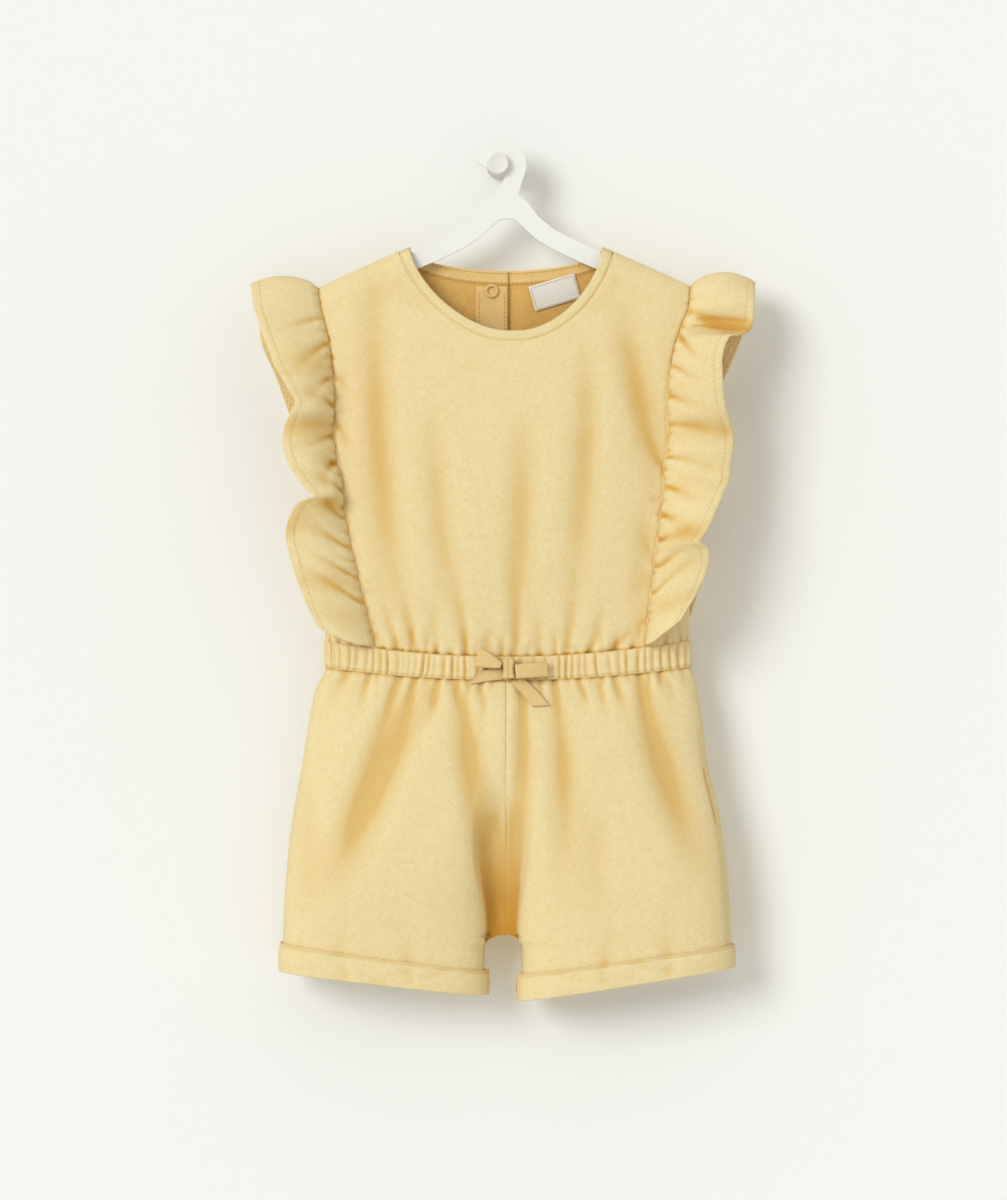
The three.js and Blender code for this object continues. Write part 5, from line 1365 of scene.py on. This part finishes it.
def make_hanger():
    """A flat plate with rounded edges: the hook, an arm to each side and a smoothed under-arch."""
    hook_z = PEG_RADIUS + SEAM_GAP - HOOK_INNER
    arm_x = np.concatenate([np.linspace(6, 57, 34), np.linspace(58.5, HANGER_REACH, 24)])
    tip_radius = (HANGER_ARM["top"][-1] - HANGER_ARM["foot"][-1]) / 2
    tip_z = HANGER_ARM["foot"][-1] + tip_radius
    outline = []

    def arm(side, distances_out, column):
        heights = np.interp(distances_out, HANGER_ARM["x"], HANGER_ARM[column])
        outline.extend(zip(HANGER_MIDDLE + side * distances_out, heights))

    def arc(x, z, radius, start, end, count):
        for angle in np.linspace(start, end, count):
            outline.append((x + radius * math.cos(angle), z + radius * math.sin(angle)))
    arc(0, hook_z, HOOK_OUTER, HOOK_TIP_ANGLE, HOOK_NECK_ANGLE, 48)
    arm(1, arm_x[:-1], "top")
    arc(HANGER_MIDDLE + HANGER_REACH, tip_z, tip_radius, math.pi / 2, -math.pi / 2, 14)
    arm(1, arm_x[::-1][1:], "foot")
    outline.extend((HANGER_MIDDLE + x, HANGER_CROOK_Z - 0.03 * x * x) for x in (4, 2, 0, -2, -4))
    arm(-1, arm_x[:-1], "foot")
    arc(HANGER_MIDDLE - HANGER_REACH, tip_z, tip_radius, -math.pi / 2, -1.5 * math.pi, 14)
    arm(-1, arm_x[::-1][1:], "top")
    outline.append((HOOK_INNER * HOOK_CORNER, hook_z - HOOK_INNER * HOOK_CORNER))
    arc(0, hook_z, HOOK_INNER, HOOK_NECK_ANGLE, math.pi, 40)
    outline = np.array(outline)
    for _ in range(2):
        smooth = (np.roll(outline, 1, 0) + 2 * outline + np.roll(outline, -1, 0)) / 4
        gap = np.linalg.norm(np.roll(outline, -1, 0) - outline, axis=1)
        near = (gap < 2.6) & (np.roll(gap, 1) < 2.6)
        outline = np.where(near[:, None], smooth, outline)
    count = len(outline)
    points = [(x, PLANE_Y + end * HANGER_THICK / 2, z) for end in (-1, 1) for x, z in outline]
    faces = [tuple(range(count)), tuple(range(2 * count - 1, count - 1, -1))]
    faces += [(k, (k + 1) % count, (k + 1) % count + count, k + count) for k in range(count)]

    def round_edges(work):
        rims = [e for e in work.edges if abs(e.verts[0].co.y - e.verts[1].co.y) < 1e-6]
        bmesh.ops.bevel(work, geom=rims, offset=HANGER_EDGE * MM, segments=3, profile=0.5, affect="EDGES")
        bmesh.ops.triangulate(work, faces=[f for f in work.faces if len(f.verts) > 4])
        work.normal_update()
        for flat_face in work.faces:
            flat_face.smooth = abs(flat_face.normal.y) < 0.98
    return mend(make_object("hanger_plate", points, faces, [hanger_white]), round_edges)


def make_peg():
    profile = [
        (0, 0), (PEG_RADIUS, 0), (PEG_RADIUS, PEG_LENGTH - 1.2), (PEG_RADIUS - 0.1, PEG_LENGTH - 0.6),
        (PEG_RADIUS - 0.45, PEG_LENGTH - 0.15), (PEG_RADIUS - 1, PEG_LENGTH),
        (PEG_RADIUS - 1.5, PEG_LENGTH - 0.25), (2, PEG_LENGTH - 0.45), (0, PEG_LENGTH - 0.5),
    ]
    return lathe("wall_peg_round", profile, 72, peg_paint, (0, 0, 0), (0, -1, 0))


# Ribbon bow
def ribbon(name, middles, across, normals):
    """A strip along its middle points, cupped across, with painted shade at its edges and where it starts at
    the knot.
    """
    v = np.linspace(-0.5, 0.5, 15)[:, None, None]
    grid = middles[None] + across[None] * v - normals[None] * 0.35 * np.abs(2 * v) ** 3
    along = np.linspace(0, 1, grid.shape[1])[None, :]
    shade = 0.5 * np.abs(2 * v[..., 0]) ** 10 + 0.5 * (1 - ease(along / 0.16))
    return shell(name, grid, normals, RIBBON_WALL, [ribbon_cloth, ribbon_inside_shaded, ribbon_edge_shaded], shade)


def bow_loop(name, side, reach, tilt, widths, lift):
    """A loop that leaves the knot at a tilt and comes back behind itself, with its two widths."""
    height = 6
    angle = math.radians(tilt)
    out = np.array([side * math.cos(angle), 0, math.sin(angle)])
    up = np.array([-side * math.sin(angle), 0, math.cos(angle)])
    corner = abs(math.sin(angle)) * widths[0] * 0.5
    start_x = GARMENT_X + BOW["x"] + side * (BOW["half"] + SEAM_GAP + corner)
    start = np.array([start_x, BAND_FRONT_Y - 1.5, BOW["z"] + lift])
    turn = np.linspace(0, math.pi, 60)
    width = lerp(widths[0], widths[1], np.sin(turn) ** 0.8)
    middles = start + out * (reach * np.sin(turn))[:, None]
    middles = middles + np.array([0, -height / 2, 0]) * (1 - np.cos(turn))[:, None]
    tangents = out * (reach * np.cos(turn))[:, None]
    tangents[:, 1] = -height * np.sin(turn) / 2
    normals = -unit(side * np.cross(tangents, up))
    ripples = 0.25 * np.sin(turn * 5 + side)
    middles = middles + normals * (ripples * np.sin(turn))[:, None]
    return ribbon(name, middles, up * width[:, None], normals)


def bow_tail(name, start, end, bend, start_cut, end_cut):
    """A tail from its middle line and the sideways lines of its two ends, as x and z."""
    u = np.linspace(0, 1, 50)
    x = lerp(start[0], end[0], u)
    z = lerp(start[1], end[1], u) + bend * 4 * u * (1 - u)
    depth = curve(BODY, np.minimum(z, BAND_FOOT_MIDDLE), "front")
    y = np.minimum(PLANE_Y - depth - 2.2, BAND_FRONT_Y - 1.1) - 0.5 * np.sin(u * 6)
    middles = np.stack([GARMENT_X + x, y, z], -1)
    cut = lerp(np.array(start_cut, float), np.array(end_cut, float), u[:, None])
    across = np.stack([cut[:, 0], 0 * u, cut[:, 1]], -1)
    normals = np.tile(np.array([0, -1.0, 0]), (50, 1))
    return ribbon(name, middles, across, normals)


def make_knot():
    """The ribbon wrapped round the middle, with its two soft folds."""
    columns = 48
    rows = 21
    angle = np.arange(columns) / columns * 2 * math.pi
    v = np.linspace(-1, 1, rows)[:, None]
    deep = BOW["depth"] / 2
    waist = 1 - 0.1 * np.cos(v * math.pi)
    x = BOW["half"] * np.sign(np.cos(angle)) * np.abs(np.cos(angle)) ** 0.7 * waist
    folds = 1 + 0.04 * np.sin(angle * 6) - 0.3 * np.exp(-(((x - 0.4) / 0.7) ** 2))
    y = deep * np.sign(np.sin(angle)) * np.abs(np.sin(angle)) ** 0.7 * folds * (1 - 0.12 * v**4)
    z = BOW["z"] + v * BOW["height"] / 2 + 0 * x
    points = np.stack([GARMENT_X + BOW["x"] + x, BAND_FRONT_Y - SEAM_GAP - deep + y, z], -1)
    index, quads = grid_quads(rows, columns)
    faces = quads.tolist() + [tuple(index[0, -2::-1]), tuple(index[-1, :-1])]
    return mend(make_object("bow_knot_ribbon", points.reshape(-1, 3), faces, [ribbon_cloth]))


# Everything is made here, with the node that each piece stands for
def dress(piece, node):
    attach(piece, "root")
    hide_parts(node)


dress(make_front_bodice(), "front_bodice")
for side in SIDES:
    name = side_name(side)
    dress(make_back_bodice(side), f"back_bodice_{name}")
    dress(make_side_panel(side), f"side_panel_{name}")
    dress(make_ruffle(side), f"ruffle_{name}")
    dress(make_leg("front", side), f"leg_front_{name}")
    dress(make_leg("back", side), f"leg_back_{name}")
    dress(make_cuff(side), f"cuff_{name}")
dress(make_band("front"), "waistband_front")
dress(make_band("back"), "waistband_back")
dress(make_pocket(), "pocket_facing_right")
dress(make_placket(), "back_placket")

for node, face, column, raised in (
    ("neck_binding_front", "front", front_column, lambda x: 0 * x),
    ("neck_binding_back_left", "back", back_column(-1), lambda x: 0 * x),
    ("neck_binding_back_right", "back", back_column(1), lambda x: lap_raise(x) + 0.4),
):
    dress(make_binding(f"{node}_cloth", face, column, raised), node)
dress(make_label(), "neck_label")

dress(bow_loop("bow_loop_left_ribbon", -1, 16, 20, (3.6, 13), 2), "bow_loop_left")
dress(bow_loop("bow_loop_right_ribbon", 1, 20, 5, (9, 9.8), -1.8), "bow_loop_right")
for node, start, end, start_cut, end_cut in (
    ("bow_tail_left", (-1.6, -318), (-19.4, -320.4), (0.3, 7), (6, 8.8)),
    ("bow_tail_right", (6.2, -321), (21.6, -337.3), (9.5, 2), (11.2, 0.8)),
):
    dress(bow_tail(f"{node}_ribbon", start, end, 0.6, start_cut, end_cut), node)
dress(make_knot(), "bow_knot")
for piece, node in make_studs():
    dress(piece, node)
dress(make_hanger(), "hanger")
dress(make_peg(), "wall_peg")

threads = make_object("seam_threads", thread_points, thread_faces, [thread, darker_thread_and_shade], thread_picks)
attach(threads, "root")

# Pale wall and floor, soft light from the left front, and the camera
FLOOR_Z = -0.95
STAGE_TOP = 3
STAGE_REACH = 4
STAGE_WALL_Y = 0.0005


def larger(tree, first, second):
    made = add_node(tree, "ShaderNodeMath", {"operation": "MAXIMUM"})
    feed(tree, made.inputs[0], first)
    feed(tree, made.inputs[1], second)
    return made.outputs[0]


def stage_paint(name, see_through):
    """Flat paint. The wall lets light through from behind, so that the garment's back is lit too."""
    paint, tree, shader, _ = new_material(name, 1)
    fill(tree, shader, Base_Color=(0.892, 0.9, 0.885, 1), Specular_IOR_Level=0)
    if see_through:
        facing = add_node(tree, "ShaderNodeNewGeometry").outputs["Backfacing"]
        rays = add_node(tree, "ShaderNodeLightPath").outputs
        passed = larger(tree, rays["Is Diffuse Ray"], rays["Is Shadow Ray"])
        choice = add_node(tree, "ShaderNodeMixShader")
        clear = add_node(tree, "ShaderNodeBsdfTransparent")
        for number, value in enumerate((larger(tree, facing, passed), shader.outputs[0], clear.outputs[0])):
            feed(tree, choice.inputs[number], value)
        fill(tree, tree.nodes["Material Output"], Surface=choice.outputs[0])
    return paint


def plane(name, corners, paint):
    mesh = bpy.data.meshes.new(name)
    mesh.from_pydata(corners, [], [(0, 1, 2, 3)])
    mesh.materials.append(paint)
    sheet = bpy.data.objects.new(name, mesh)
    scene.collection.objects.link(sheet)


left, right = -STAGE_REACH, STAGE_REACH
corner_left = (left, STAGE_WALL_Y, FLOOR_Z)
corner_right = (right, STAGE_WALL_Y, FLOOR_Z)
wall_top = [(right, STAGE_WALL_Y, STAGE_TOP), (left, STAGE_WALL_Y, STAGE_TOP)]
floor_front = [(left, -STAGE_REACH, FLOOR_Z), (right, -STAGE_REACH, FLOOR_Z)]
plane("stage_wall", [corner_left, corner_right] + wall_top, stage_paint("stage_paint", True))
plane("stage_floor", floor_front + [corner_right, corner_left], stage_paint("stage_floor_paint", False))

scene.world = bpy.data.worlds.new("studio")
scene.world.use_nodes = True
background = scene.world.node_tree.nodes["Background"]
fill(scene.world.node_tree, background, Color=(1, 0.968, 0.905, 1), Strength=0.665)


def place_object(name, data, location, rotation):
    holder = bpy.data.objects.new(name, data)
    scene.collection.objects.link(holder)
    holder.location = location
    holder.rotation_euler = rotation
    return holder


# The sun shines to the right, towards the wall and down
SUN_X, SUN_Y, SUN_Z = (0.59, 0.87, -0.34)
lamp = bpy.data.lights.new("key_light", "SUN")
lamp.energy = 1.47
lamp.angle = math.radians(26)
lamp.color = (0.955, 0.985, 1)
tilt = math.atan2(math.hypot(SUN_X, SUN_Y), -SUN_Z)
place_object("key_light", lamp, (0, 0, 0), (tilt, 0, math.atan2(-SUN_X, SUN_Y)))

# The camera looks straight at the wall from about three metres
CAMERA_PLACE = (0.0034, -3.05, -0.272)
CAMERA_LENS = 145.2
camera = bpy.data.cameras.new("camera")
camera.lens = CAMERA_LENS
scene.camera = place_object("camera", camera, CAMERA_PLACE, (math.pi / 2, 0, 0))
scene.view_settings.view_transform = "Standard"
